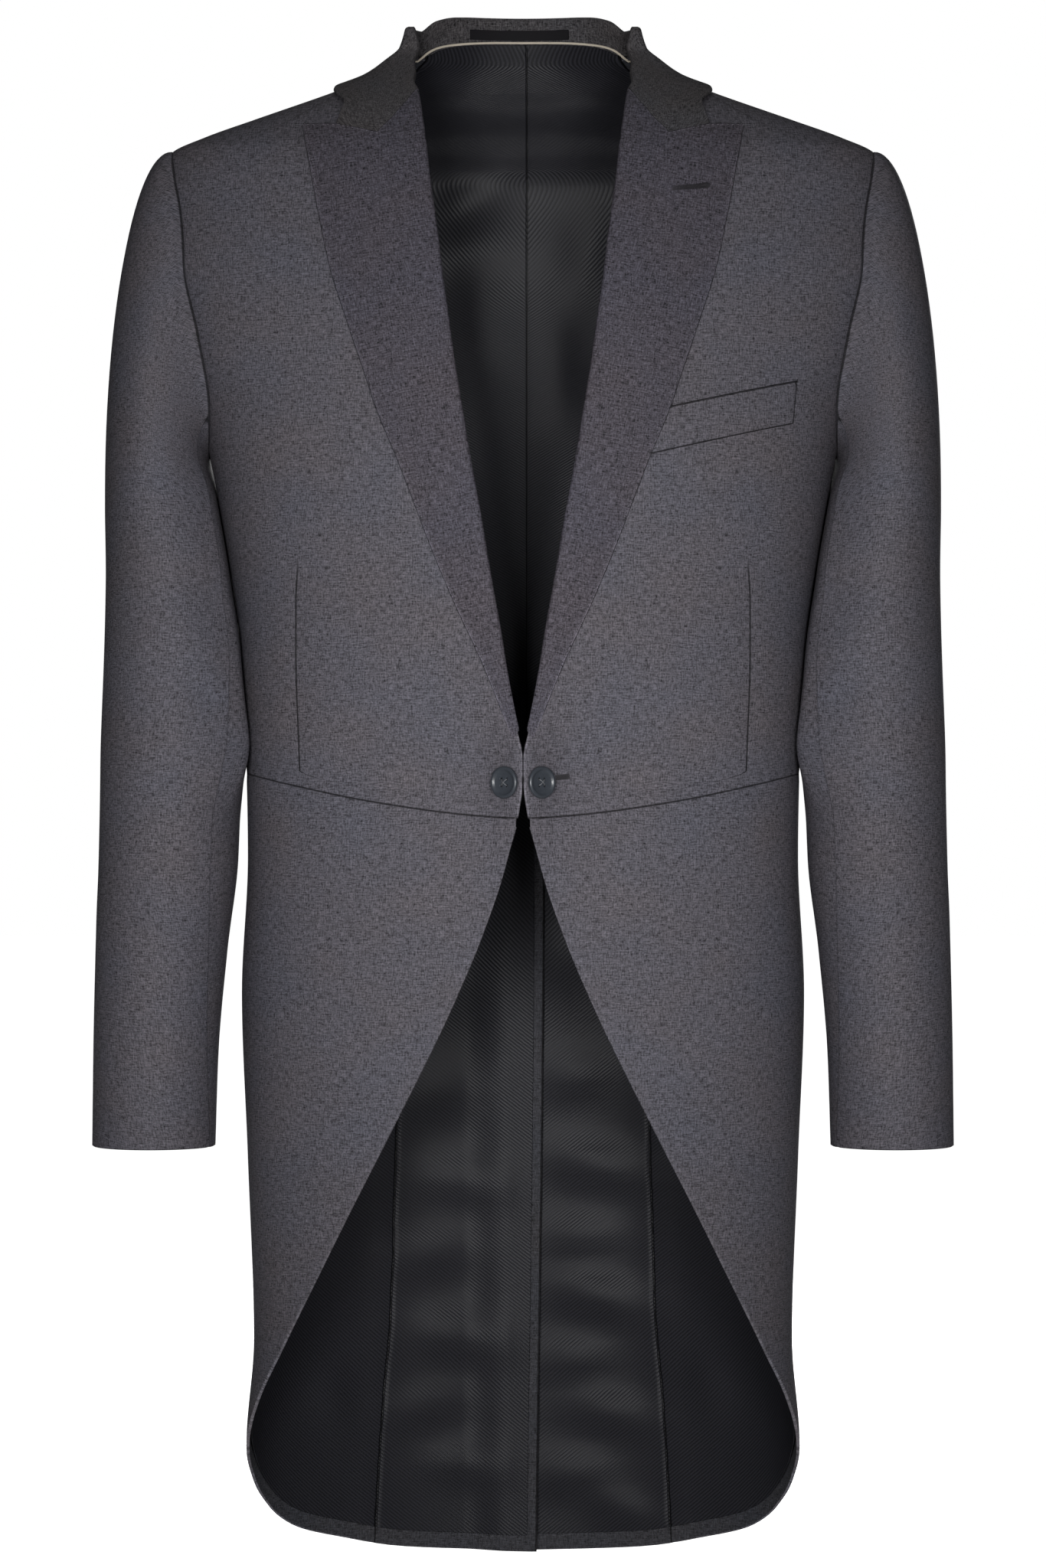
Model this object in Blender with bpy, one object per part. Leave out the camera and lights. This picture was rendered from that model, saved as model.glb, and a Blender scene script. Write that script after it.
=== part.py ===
"""A cutaway morning coat, filled out as it is worn, with no wearer in it.

The coat is cut from cloth walls on one smooth form. The form is a stack of level sections,
and a place on it is named by (g, z): g runs from 0 at the centre front, through 0.5 at the
side, to 1 at the centre back, and z is the height. Tables are in millimetres. X is the
wearer's left, Y points from the front to the back, Z is up, and the origin lies between the
neck points, where the wearer's neck and shoulders hold the coat.
"""

import math
from collections import namedtuple

import bmesh
import bpy
from mathutils import Vector

MM = 0.001

# Cloth thicknesses and the gaps between pieces
CLOTH = 2.0
LINING = 1.0
LINING_GAP = 1.0
SEAM_GAP = 0.6

# The form: outer face of the cloth, section by section
Section = namedtuple("Section", "z half_width front back side_y power")
SECTIONS = [
    Section(24, 72, 6, 55, 8, 2.0),
    Section(-2, 79, 6, 62, 8, 2.0),
    Section(-12, 90, 18, 66, 7, 2.0),
    Section(-22, 104, 34, 70, 5, 2.0),
    Section(-31, 127, 46, 74, 4, 2.0),
    Section(-50, 180, 68, 88, 3, 2.1),
    Section(-62, 213, 77.5, 95, 2.5, 2.15),
    Section(-72, 234, 85, 101, 2, 2.2),
    Section(-84, 241, 91.5, 105, 1.5, 2.25),
    Section(-100, 243.5, 98, 108, 1, 2.3),
    Section(-150, 245, 114, 115, 0, 2.35),
    Section(-200, 231, 124, 116, 0, 2.4),
    Section(-240, 216, 129, 113, 0, 2.4),
    Section(-275, 208, 130, 109, 0, 2.4),
    Section(-330, 198, 127, 101, 0, 2.35),
    Section(-400, 188, 119, 90, 0, 2.3),
    Section(-480, 184, 111, 83, 0, 2.3),
    Section(-540, 183, 113, 92, 0, 2.3),
    Section(-630, 187, 119, 110, 0, 2.3),
    Section(-740, 183, 120, 118, 0, 2.3),
    Section(-860, 179, 118, 122, 0, 2.3),
    Section(-930, 184, 116, 124, 0, 2.3),
    Section(-1030, 184, 114, 126, 0, 2.3),
]

# The two front edges stand proud where the buttons pull them together
RIDGE_HEIGHT = 18.0
RIDGE_HALF_WIDTH = 20.0
RIDGE_HALF_LENGTH = 45.0
BUTTON_LEVEL = -490.6

# Armhole
ARMHOLE_TOP = -72.0
ARMHOLE_BOTTOM = -275.0
ARMHOLE_FRONT = 57.0
ARMHOLE_BACK = 72.0
ARMHOLE_TAPER = 0.2
ARMHOLE_Y = -4.0

# Lines on the coat, each a short table of (height, distance from the centre)
SHOULDER_SEAM = [(-4, 78), (-29, 117), (-40, 133), (-56, 158), (-63, 177), (-67, 198), (-70, 217)]
ROLL_LINE = [(0, 70), (-45, 66), (-90, 61.5), (-132, 56), (-193, 48), (-253, 39),
             (-312, 28.5), (-371, 18.5), (-430, 8), (-465, 1)]
FRONT_EDGE = [(-460, 3.6), (-475, 0.8), (-490, 1), (-505, 2), (-516, 4.5)]
NECK_EDGE = [(-4, 77.4), (-20, 75), (-34, 71.4)]
LAPEL_EDGE = [(-60, 144), (-86, 139), (-122, 132), (-154, 125), (-185, 116), (-214, 105.5),
              (-251, 93), (-282, 80), (-314, 68.5), (-351, 53.5), (-390, 37), (-428, 19), (-453, 6)]
SIDE_SEAM = [(-200, 202.2), (-228, 172), (-250, 152), (-330, 112), (-400, 88), (-484.5, 74)]

# Waist seam, cutaway and hem, as heights by place round the coat
WAIST_FRONT = -516.0
WAIST_RISE = 31.5
WAIST_POWER = 1.15
WAIST_SIDE = WAIST_FRONT + WAIST_RISE
HEM = [(0.0, -500), (0.0055, -521), (0.019, -560), (0.051, -618), (0.0985, -678), (0.182, -758),
       (0.264, -820), (0.338, -863), (0.395, -890), (0.438, -911), (0.5, -938), (0.544, -952),
       (0.58, -965), (0.613, -975), (0.643, -984), (0.703, -996), (0.783, -1005),
       (0.865, -1013), (0.928, -1015.5), (1.0, -1017)]
TAIL_SEAM_WAIST = 0.886
TAIL_SEAM_HEM = 0.83

# The centre vent: the left tail laps over the right one
VENT_TOP = -500.0
LEFT_TAIL_EDGE = [(-500, 0.3), (-512, -6), (-1017, -6)]
RIGHT_TAIL_EDGE = [(-500, 0.3), (-512, -14), (-560, -14), (-1017, -9)]
VENT_DEPTH = [(-460, 0), (-484.5, 2.6), (-500, 4.6), (-1017, 8)]
LAP_START = 42.0
LAP_END = 9.0

# Rows and columns of the panels
YOKE_ROWS = [-4, -20, -34, -46, -56, -63, -67, -70]
ARMHOLE_ROWS = [-72, -80, -94, -114, -140, -170, -200, -228, -250, -266, -275]
WAIST_STEPS = [1 / 6, 2 / 6, 3 / 6, 4 / 6, 5 / 6, 0.92, 1.0]
SKIRT_STEPS = [0.0, 0.1, 0.2, 0.3, 0.4, 0.5, 0.6, 0.7, 0.8, 0.9, 1.0]
VENT_STEPS = [0.03, 0.052]
FRONT_COLUMNS = [0.0, 0.04, 0.11, 0.2, 0.31, 0.44, 0.58, 0.72, 0.86, 1.0]
SIDE_COLUMNS = 5
BACK_COLUMNS = 8
SIDE_TOP = -200

# Sleeve: level rings below the head, and the head's own rise over the shoulder
SleeveRing = namedtuple("SleeveRing", "z middle_x middle_y half_x half_y turn")
SLEEVE_RINGS = [
    SleeveRing(-310, 241.5, 0, 36.5, 74, 0),
    SleeveRing(-360, 237.0, -2, 40.5, 71, 0),
    SleeveRing(-420, 234.2, -7, 44.6, 67, -2),
    SleeveRing(-480, 233.7, -14, 46.6, 64, -8),
    SleeveRing(-540, 234.7, -21, 46.2, 61.5, -8),
    SleeveRing(-600, 238.8, -29, 43.6, 59, 0),
    SleeveRing(-670, 242.1, -38, 41.2, 55.5, 10),
    SleeveRing(-729, 243.0, -45, 40.5, 52, 20),
]
HEAD_STEPS = [0.0, 0.1, 0.22, 0.36, 0.52, 0.7, 0.86]
HEAD_OUTWARD = [(0, (1.0, 0.0, 0.1)), (90, (1.0, -0.35, 0.0)), (180, (0.35, 0.0, -1.0)), (270, (1.0, 0.3, 0.0))]
HEAD_LEAVE = 23.0
HEAD_LEAVE_UNDER = 8.0
HEAD_ARRIVE = 128.0
HEAD_ARRIVE_UNDER = 12.0
HEAD_POWER = 1.2
HEAD_LIFT = 0.5
FRONT_SEAM_LEVEL = -250
BACK_SEAM_LEVEL = -200

# Collar and lapels: a fold of small radius, and a leaf that lies over the forepart
FOLD_RADIUS = 3.0
LEAF_HEIGHT = 4.0
FOLD_TURNS = (45, 90, 135)
CollarStation = namedtuple("CollarStation", "crest_x crest_z base_x base_z edge_x edge_z bend")
COLLAR_FRONT = [
    CollarStation(68.0, -34, 70.6, -36.2, 121.0, -61, 1.0),
    CollarStation(69.5, -22, 72.0, -26.0, 119.0, -53, 0.5),
    CollarStation(70.5, -9, 74.6, -14.0, 117.0, -43, 0.2),
]
NECK_SEAM = -1.6
COLLAR_CREST_BACK = 26.0
COLLAR_CREST_DROP = 19.0
COLLAR_CREST_SIDE = 71.0
COLLAR_EDGE = [(0.42, -31), (0.5, -27), (0.57, -24.5), (0.64, -22), (0.71, -21), (1.0, -20)]
COLLAR_LEAF = [0.0, 0.16, 0.33, 0.52, 0.78, 1.0]
GORGE = [(76, -46), (85, -57.5), (94.6, -68), (108, -64.5), (121, -61)]
LAPEL_TOP = [(68, -34.6), (76, -46.7), (85, -58.3), (94.6, -68.8), (108, -65.3), (121, -61.8), (133, -60.6), (144, -60)]
LAPEL_LEAF = [0.0, 0.105, 0.224, 0.35, 0.52, 0.697, 0.85, 1.0]
LAPEL_ROWS = [0.0, 0.025, 0.055, 0.09, 0.13, 0.19, 0.27, 0.36, 0.46, 0.56, 0.67, 0.78, 0.89, 1.0]
LAPEL_FOLD_END = -438.0
LAPEL_TIP_END = -445.0
LAPEL_BEND_SHARE = 0.13

# Welt pocket on the wearer's left breast, as (distance from the centre, height)
WELT_TOP = ((83, -250.5), (178, -229))
WELT_BOTTOM = ((79, -279), (175.4, -256.6))
WELT_COLUMNS = 7
WELT_GAP = 0.35
WELT_THICKNESS = 1.2

# Buttons
BUTTON_CENTRE = 12.0
BUTTON_SIDES = 20
BUTTON_PROFILE = [(1.5, -0.35), (1.5, 1.5), (9.8, 1.7), (10.5, 2.6), (10.3, 4.3), (9.4, 4.7), (8.2, 4.2), (7.6, 3.7)]

# Trim inside the neck
LINING_TOP_BACK = 9.0
LINING_TOP_SIDE = 1.0
PLEAT_DEPTH = [(-520, 0), (-470, 1.8), (10, 1.8)]
PLEAT_LAP = 3.0
LINING_HEM_RISE = 11.0
LINING_EDGE_INSET = 6.5
LINING_SIDE_LIMIT = 0.68
LINING_EASE = [(-200, 0), (-130, 0.8), (-85, 2.4), (-60, 2.4), (-20, 0.8), (0, 0)]
SKIRT_LINING_START = 3
PIPING_RADIUS = 0.8
LABEL_SPAN = (-36.8, 31.6)
LABEL_HEIGHTS = (11.9, 18.3)
LABEL_THICKNESS = 0.6
LABEL_GAP = 0.6

Finish = namedtuple("Finish", "name red green blue roughness")
WORSTED = Finish("grey_worsted", 85, 83, 88, 0.85)
LAPEL_WORSTED = Finish("lapel_worsted", 70, 67, 74, 0.85)
COLLAR_WORSTED = Finish("collar_worsted", 51, 49, 52, 0.85)
SATIN = Finish("lining_twill", 45, 43, 48, 0.45)
PIPING = Finish("neck_piping", 186, 176, 160, 0.6)
LABEL = Finish("label_satin", 22, 21, 24, 0.5)
BUTTON = Finish("button_horn", 61, 64, 72, 0.4)


class Curve:
    """A smooth curve through a short table of (place, value), with no overshoot."""

    def __init__(self, rows):
        rows = sorted(rows)
        self.places = [row[0] for row in rows]
        self.values = [row[1] for row in rows]
        spans = [b - a for a, b in zip(self.places, self.places[1:])]
        rises = [(b - a) / span for a, b, span in zip(self.values, self.values[1:], spans)]
        inner = [2 * a * b / (a + b) if a * b > 0 else 0.0 for a, b in zip(rises, rises[1:])]
        self.slopes = [rises[0]] + inner + [rises[-1]]

    def __call__(self, place):
        places = self.places
        place = min(max(place, places[0]), places[-1])
        index = max(i for i in range(len(places) - 1) if places[i] <= place or i == 0)
        span = places[index + 1] - places[index]
        t = (place - places[index]) / span
        start, end = self.values[index], self.values[index + 1]
        leave, arrive = self.slopes[index] * span, self.slopes[index + 1] * span
        return (start * (1 + 2 * t) * (1 - t) ** 2 + leave * t * (1 - t) ** 2
                + end * t * t * (3 - 2 * t) - arrive * t * t * (1 - t))


FORM = {field: Curve([(row.z, getattr(row, field)) for row in SECTIONS]) for field in Section._fields[1:]}
HEM_LINE = Curve(HEM)
ROLL = Curve(ROLL_LINE)
LAPEL_OUTER = Curve(LAPEL_EDGE)
NORMAL_STEP_G = 0.002
NORMAL_STEP_Z = 1.0


def smooth(t):
    """Ease from 0 to 1 as t goes from 0 to 1."""
    t = min(max(t, 0.0), 1.0)
    return t * t * (3 - 2 * t)


def signed_power(value, power):
    return math.copysign(abs(value) ** power, value)


def form_point(g, z):
    """Point of the form's outer face on the wearer's left half, past the centre for g over 1."""
    turn = math.pi * g
    power = 2 / FORM["power"](z)
    x = FORM["half_width"](z) * signed_power(math.sin(turn), power)
    toward_front = math.cos(turn)
    depth = FORM["front"](z) if toward_front > 0 else FORM["back"](z)
    y = FORM["side_y"](z) - depth * signed_power(toward_front, power)
    if toward_front > 0:
        across = math.exp(-(x / RIDGE_HALF_WIDTH) ** 2)
        y -= RIDGE_HEIGHT * across * math.exp(-((z - BUTTON_LEVEL) / RIDGE_HALF_LENGTH) ** 2)
    return Vector((x, y, z))


def form_normal(g, z):
    across = form_point(g + NORMAL_STEP_G, z) - form_point(g - NORMAL_STEP_G, z)
    along = form_point(g, z + NORMAL_STEP_Z) - form_point(g, z - NORMAL_STEP_Z)
    return across.cross(along).normalized()


def front_place(x, z):
    """Where the front half of the form is x from the centre."""
    ratio = min(abs(x) / FORM["half_width"](z), 1.0)
    return math.copysign(math.asin(ratio ** (FORM["power"](z) / 2)) / math.pi, x)


def back_place(x, z):
    """Where the back half of the form is x from the centre, past 1 when x is negative."""
    return 1.0 - front_place(x, z)


def depth_place(y, z):
    """Where the form's side reaches the depth y."""
    inward = FORM["side_y"](z) - y
    depth = FORM["front"](z) if inward > 0 else FORM["back"](z)
    turn = math.acos(min(abs(inward) / depth, 1.0) ** (FORM["power"](z) / 2))
    return turn / math.pi if inward > 0 else 1.0 - turn / math.pi


def armhole_places(z):
    """The two places where the armhole crosses the height z: in front, and behind."""
    middle = (ARMHOLE_TOP + ARMHOLE_BOTTOM) / 2
    t = (z - middle) / (ARMHOLE_TOP - middle)
    reach = math.sqrt(max(1 - t * t, 0.0))
    centre = ARMHOLE_Y * (1 + t)
    front = centre - ARMHOLE_FRONT * reach * (1 - ARMHOLE_TAPER * t)
    return depth_place(front, z), depth_place(centre + ARMHOLE_BACK * reach, z)


def waist_height(g):
    """The waist seam dips from the side to the centre front, and runs level behind."""
    if g >= 0.5:
        return WAIST_SIDE
    x = form_point(g, WAIST_FRONT).x
    share = x / FORM["half_width"](WAIST_FRONT)
    return WAIST_FRONT + WAIST_RISE * share ** WAIST_POWER


def tail_seam_place(z):
    t = (z - WAIST_SIDE) / (HEM_LINE(TAIL_SEAM_HEM) - WAIST_SIDE)
    return TAIL_SEAM_WAIST + (TAIL_SEAM_HEM - TAIL_SEAM_WAIST) * min(max(t, 0.0), 1.0)


def linear(channel):
    """Linear value of one channel given as a screen value from 0 to 255."""
    value = channel / 255
    return value / 12.92 if value <= 0.04045 else ((value + 0.055) / 1.055) ** 2.4


def material(finish):
    made = bpy.data.materials.get(finish.name)
    if made:
        return made
    made = bpy.data.materials.new(finish.name)
    made.use_nodes = True
    shader = made.node_tree.nodes["Principled BSDF"]
    colour = [linear(finish.red), linear(finish.green), linear(finish.blue), 1.0]
    shader.inputs["Base Color"].default_value = colour
    shader.inputs["Roughness"].default_value = finish.roughness
    shader.inputs["Metallic"].default_value = 0.0
    return made


def add_object(name, shape, finish):
    """Turn a closed bmesh in millimetres into the named object, its faces pointing out."""
    bmesh.ops.triangulate(shape, faces=[face for face in shape.faces if len(face.verts) > 4])
    if shape.calc_volume(signed=True) < 0:
        bmesh.ops.reverse_faces(shape, faces=shape.faces)
    bmesh.ops.scale(shape, vec=(MM, MM, MM), verts=shape.verts)
    mesh = bpy.data.meshes.new(name)
    shape.to_mesh(mesh)
    shape.free()
    mesh.materials.append(material(finish))
    mesh.shade_smooth()
    mesh.set_sharp_from_angle(angle=math.radians(40))
    made = bpy.data.objects.new(name, mesh)
    bpy.context.scene.collection.objects.link(made)
    return made


def draw_back(grid, edges, distance):
    """Move the named edges of a grid of (point, normal) towards its middle, square to the edge."""
    rows, columns = len(grid), len(grid[0])
    moved = [[point.copy() for point, _ in row] for row in grid]
    steps = {"top": (0, None, 1, 0), "bottom": (rows - 1, None, -1, 0),
             "inner": (None, 0, 0, 1), "outer": (None, columns - 1, 0, -1)}
    for edge in edges:
        fixed_row, fixed_column, down, along = steps[edge]
        for r in range(rows) if fixed_row is None else [fixed_row]:
            for c in range(columns) if fixed_column is None else [fixed_column]:
                if fixed_row is None:
                    run = grid[min(r + 1, rows - 1)][c][0] - grid[max(r - 1, 0)][c][0]
                else:
                    run = grid[r][min(c + 1, columns - 1)][0] - grid[r][max(c - 1, 0)][0]
                step = grid[r + down][c + along][0] - grid[r][c][0]
                step -= run * (step.dot(run) / run.length_squared)
                moved[r][c] += step.normalized() * distance
    return [[(moved[r][c], grid[r][c][1]) for c in range(columns)] for r in range(rows)]


def wall(name, grid, thickness, finish, side=1, depth=0.0, edges=()):
    """A closed panel of cloth: its outer face `depth` inside the grid, its inner one further in."""
    grid = draw_back(grid, edges, SEAM_GAP / 2)
    shape = bmesh.new()
    flip = Vector((side, 1, 1))
    outer = [[shape.verts.new((point - normal * depth) * flip) for point, normal in row] for row in grid]
    inner = [[shape.verts.new((point - normal * (depth + thickness)) * flip) for point, normal in row]
             for row in grid]
    rows, columns = len(grid), len(grid[0])
    for r in range(rows - 1):
        for c in range(columns - 1):
            for face, order in ((outer, 1), (inner, -1)):
                a, b = face[r][c], face[r + 1][c]
                d, e = face[r][c + 1], face[r + 1][c + 1]
                shape.faces.new((a, b, e)[::order])
                shape.faces.new((a, e, d)[::order])
    loop = [(0, c) for c in range(columns)] + [(r, columns - 1) for r in range(1, rows)]
    loop += [(rows - 1, c) for c in range(columns - 2, -1, -1)] + [(r, 0) for r in range(rows - 2, 0, -1)]
    for (r, c), (s, d) in zip(loop, loop[1:] + loop[:1]):
        if (s, d) > (r, c):
            shape.faces.new((outer[r][c], outer[s][d], inner[s][d]))
            shape.faces.new((outer[r][c], inner[s][d], inner[r][c]))
        else:
            shape.faces.new((outer[r][c], outer[s][d], inner[r][c]))
            shape.faces.new((outer[s][d], inner[s][d], inner[r][c]))
    return add_object(name, shape, finish)


def on_form(g, z):
    return form_point(g, z), form_normal(g, z)


SHOULDER = Curve(SHOULDER_SEAM)
NECK_LINE = Curve(NECK_EDGE)
EDGE_LINE = Curve(FRONT_EDGE)
SIDE_LINE = Curve(SIDE_SEAM)
ROLL_SET_BACK = 3.4
SKIRT_SET_BACK = 0.6


def forepart_edge_place(z):
    """The forepart's front boundary: neck, then the fold of the lapel, then the front edge."""
    if z >= -34:
        return front_place(NECK_LINE(z), z)
    if z >= -455:
        return front_place(ROLL(z) + ROLL_SET_BACK, z)
    return front_place(EDGE_LINE(z), z)


def upper_heights():
    """Heights of the levels above the waist as (height at the side, share of the way to the waist)."""
    fixed = [(z, None) for z in YOKE_ROWS + ARMHOLE_ROWS]
    return fixed + [(None, step) for step in WAIST_STEPS]


def level(height, step, waist):
    return height if step is None else ARMHOLE_BOTTOM + step * (waist - ARMHOLE_BOTTOM)


def forepart_grid():
    waist_edge = front_place(FRONT_EDGE[-1][1], WAIST_FRONT)
    waists = [waist_height(waist_edge + share * (0.5 - waist_edge)) for share in FRONT_COLUMNS]
    grid = []
    for height, step in upper_heights():
        first = level(height, step, waists[0])
        start = forepart_edge_place(first)
        if first in YOKE_ROWS:
            end = front_place(SHOULDER(first), first)
            end = max(end, start + 0.012)
        elif first in ARMHOLE_ROWS:
            end = armhole_places(first)[0]
        else:
            end = 0.5
        row = []
        for share, waist in zip(FRONT_COLUMNS, waists):
            row.append(on_form(start + share * (end - start), level(height, step, waist)))
        grid.append(row)
    return grid


def shoulder_place(z):
    start = forepart_edge_place(z)
    return max(front_place(SHOULDER(z), z), start + 0.012)


def back_boundary(z):
    """The back panel's outer boundary: shoulder seam, armhole, side seam, then tail seam."""
    if z in YOKE_ROWS:
        return shoulder_place(z)
    if z in ARMHOLE_ROWS and z > SIDE_TOP:
        return armhole_places(z)[1]
    if z >= WAIST_SIDE:
        return back_place(SIDE_LINE(z), z)
    return tail_seam_place(z)


def side_body_grid():
    heights = [z for z in ARMHOLE_ROWS if z <= SIDE_TOP]
    heights += [level(None, step, WAIST_SIDE) for step in WAIST_STEPS]
    grid = []
    for z in heights:
        start = armhole_places(z)[1] if z in ARMHOLE_ROWS else 0.5
        end = back_boundary(z)
        grid.append([on_form(start + (end - start) * c / SIDE_COLUMNS, z) for c in range(SIDE_COLUMNS + 1)])
    return grid


def skirt_grid(hem_lift=0.0, first_column=0):
    """Skirt from the waist seam to the hem, from the front edge to the tail seam."""
    edge = front_place(FRONT_EDGE[-1][1] + SKIRT_SET_BACK, WAIST_FRONT)
    columns = [(edge + share * (0.5 - edge),) * 2 for share in FRONT_COLUMNS]
    for c in range(1, SIDE_COLUMNS + 1):
        share = c / SIDE_COLUMNS
        columns.append((0.5 + share * (TAIL_SEAM_WAIST - 0.5), 0.5 + share * (TAIL_SEAM_HEM - 0.5)))
    grid = []
    for step in SKIRT_STEPS:
        row = []
        for waist_g, hem_g in columns[first_column:]:
            waist = waist_height(waist_g)
            z = waist + step * (HEM_LINE(hem_g) - waist) + (hem_lift if step == 1 else 0.0)
            row.append(on_form(waist_g + step * (hem_g - waist_g), z))
        grid.append(row)
    return grid


def lap(x, z, depth_curve):
    """How far in the lapped-under edge lies: full depth beyond the centre, none well before it."""
    return depth_curve(z) * smooth((LAP_START - x) / (LAP_START - LAP_END))


def back_grid(edge, under=None, top=None, side_limit=0.0, hem_lift=0.0, edge_inset=0.0):
    """Back panel and tail in one, out to the curve `edge` at the centre.

    `under` gives the depth at (x, z) by which it lies inside, `top` gives the height of
    a further upper edge on the neck, `side_limit` is the furthest it reaches from the centre
    above the waist, and the lining's insets draw its other edges back.
    """
    levels = [(z, None) for z in YOKE_ROWS + ARMHOLE_ROWS]
    levels += [(level(None, step, WAIST_SIDE), None) for step in WAIST_STEPS]
    levels += [(None, step) for step in sorted(VENT_STEPS + SKIRT_STEPS[1:])]
    grid = []
    for height, step in levels:
        row = []
        for c in range(BACK_COLUMNS + 1):
            share = c / BACK_COLUMNS
            hem_g = TAIL_SEAM_HEM + share * (1.0 - TAIL_SEAM_HEM)
            z = height
            if z is None:
                z = WAIST_SIDE + step * (HEM_LINE(hem_g) - WAIST_SIDE) + (hem_lift if step == 1 else 0.0)
            start = back_boundary(height) if height is not None else tail_seam_place(z)
            start = max(start, side_limit)
            centre = edge(z) + (edge_inset if z < VENT_TOP else 0.0)
            row.append((start + share * (back_place(centre, z) - start), z))
        grid.append(row)
    if top:
        grid.insert(0, [(g, top(form_point(g, z).x)) for g, z in grid[0]])
    return [[lapped(g, z, under) for g, z in row] for row in grid]


def lapped(g, z, under):
    """Point and normal at (g, z), drawn in by the depth that `under` gives at (x, z)."""
    point, normal = on_form(g, z)
    if under:
        point = point - normal * under(point.x, z)
    return point, normal


def sleeve_outward(turn):
    """Direction in which the sleeve leaves the armhole, turn degrees round from its top."""
    turns = HEAD_OUTWARD + [(360, HEAD_OUTWARD[0][1])]
    for (start, first), (end, second) in zip(turns, turns[1:]):
        if start <= turn <= end:
            return Vector(first).lerp(Vector(second), smooth((turn - start) / (end - start))).normalized()
    return Vector(turns[0][1])


def ring_point(ring, turn):
    angle = math.radians(turn + ring.turn)
    return Vector((ring.middle_x + ring.half_x * math.cos(angle),
                   ring.middle_y - ring.half_y * math.sin(angle), ring.z))


def armhole_stops():
    """Points round the armhole as (turn from the top, g, z), front first."""
    middle = (ARMHOLE_TOP + ARMHOLE_BOTTOM) / 2
    stops = []
    for z in ARMHOLE_ROWS:
        turn = math.degrees(math.acos((z - middle) / (ARMHOLE_TOP - middle)))
        stops.append((turn, armhole_places(z)[0], z))
    for z in ARMHOLE_ROWS[-2:0:-1]:
        turn = 360 - math.degrees(math.acos((z - middle) / (ARMHOLE_TOP - middle)))
        stops.append((turn, armhole_places(z)[1], z))
    return stops


def head_column(turn, g, z):
    """The sleeve head's line from the armhole down to the first ring."""
    start = form_point(g, z) + form_normal(g, z) * HEAD_LIFT
    end = ring_point(SLEEVE_RINGS[0], turn)
    below = ring_point(SLEEVE_RINGS[1], turn)
    over = (1 + math.cos(math.radians(turn))) / 2
    leave = HEAD_LEAVE_UNDER + (HEAD_LEAVE - HEAD_LEAVE_UNDER) * over ** 0.5
    arrive = HEAD_ARRIVE_UNDER + HEAD_ARRIVE * over ** HEAD_POWER
    second = start + sleeve_outward(turn) * leave
    third = end + (end - below).normalized() * arrive
    points = []
    for t in HEAD_STEPS:
        s = 1 - t
        points.append(start * s ** 3 + second * 3 * s * s * t + third * 3 * s * t * t + end * t ** 3)
    return points


def sleeve_tube():
    """The whole sleeve as rows of (point, normal), closed round the arm."""
    stops = armhole_stops()
    columns = [head_column(*stop) + [ring_point(ring, stop[0]) for ring in SLEEVE_RINGS] for stop in stops]
    rows = [list(row) for row in zip(*columns)]
    count = len(stops)
    tube = []
    for r, row in enumerate(rows):
        above, below = rows[max(r - 1, 0)], rows[min(r + 1, len(rows) - 1)]
        line = []
        for c, point in enumerate(row):
            around = row[(c + 1) % count] - row[c - 1]
            normal = around.cross(below[c] - above[c]).normalized()
            line.append((point, normal))
        tube.append(line)
    return tube, stops


def sleeves():
    tube, stops = sleeve_tube()
    front = next(i for i, stop in enumerate(stops) if stop[2] == FRONT_SEAM_LEVEL)
    back = max(i for i, stop in enumerate(stops) if stop[2] == BACK_SEAM_LEVEL)
    count = len(stops)
    top = [[row[(back + step) % count] for step in range(count - back + front + 1)] for row in tube]
    under = [row[front:back + 1] for row in tube]
    for name, side in (("left", 1), ("right", -1)):
        wall("topsleeve_" + name, top, CLOTH, WORSTED, side, edges=("inner", "outer"))
        wall("undersleeve_" + name, under, CLOTH, WORSTED, side, edges=("inner", "outer"))


def folded_line(base, fold, leaf):
    """Outer face across a fold: up the neck side, round the fold, then down the leaf.

    `base` and `leaf` hold places (g, z), and `fold` is the place where the fold begins.
    Each result is (point, normal), the normal pointing to the face that shows.
    """
    point, normal = on_form(*fold)
    toward_leaf = form_point(*leaf[0]) - point
    outward = -(toward_leaf - normal * toward_leaf.dot(normal)).normalized()
    line = [(form_point(*place) - form_normal(*place) * CLOTH, -form_normal(*place)) for place in base + [fold]]
    middle = LEAF_HEIGHT - FOLD_RADIUS
    for turn in FOLD_TURNS:
        angle = math.radians(turn)
        direction = outward * math.sin(angle) - normal * math.cos(angle)
        line.append((point + normal * middle + direction * FOLD_RADIUS, direction))
    line.append((point + normal * LEAF_HEIGHT, normal))
    line += [(form_point(*place) + form_normal(*place) * LEAF_HEIGHT, form_normal(*place)) for place in leaf]
    return line


def between(start, end, share):
    return tuple(a + (b - a) * share for a, b in zip(start, end))


def front_spot(x, z):
    return front_place(x, z), z


def fold_start(crest, toward):
    """Where a fold begins, one radius back from its crest towards the leaf (x, z)."""
    run = math.hypot(toward[0] - crest[0], toward[1] - crest[1])
    return between(crest, toward, FOLD_RADIUS / run)


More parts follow.
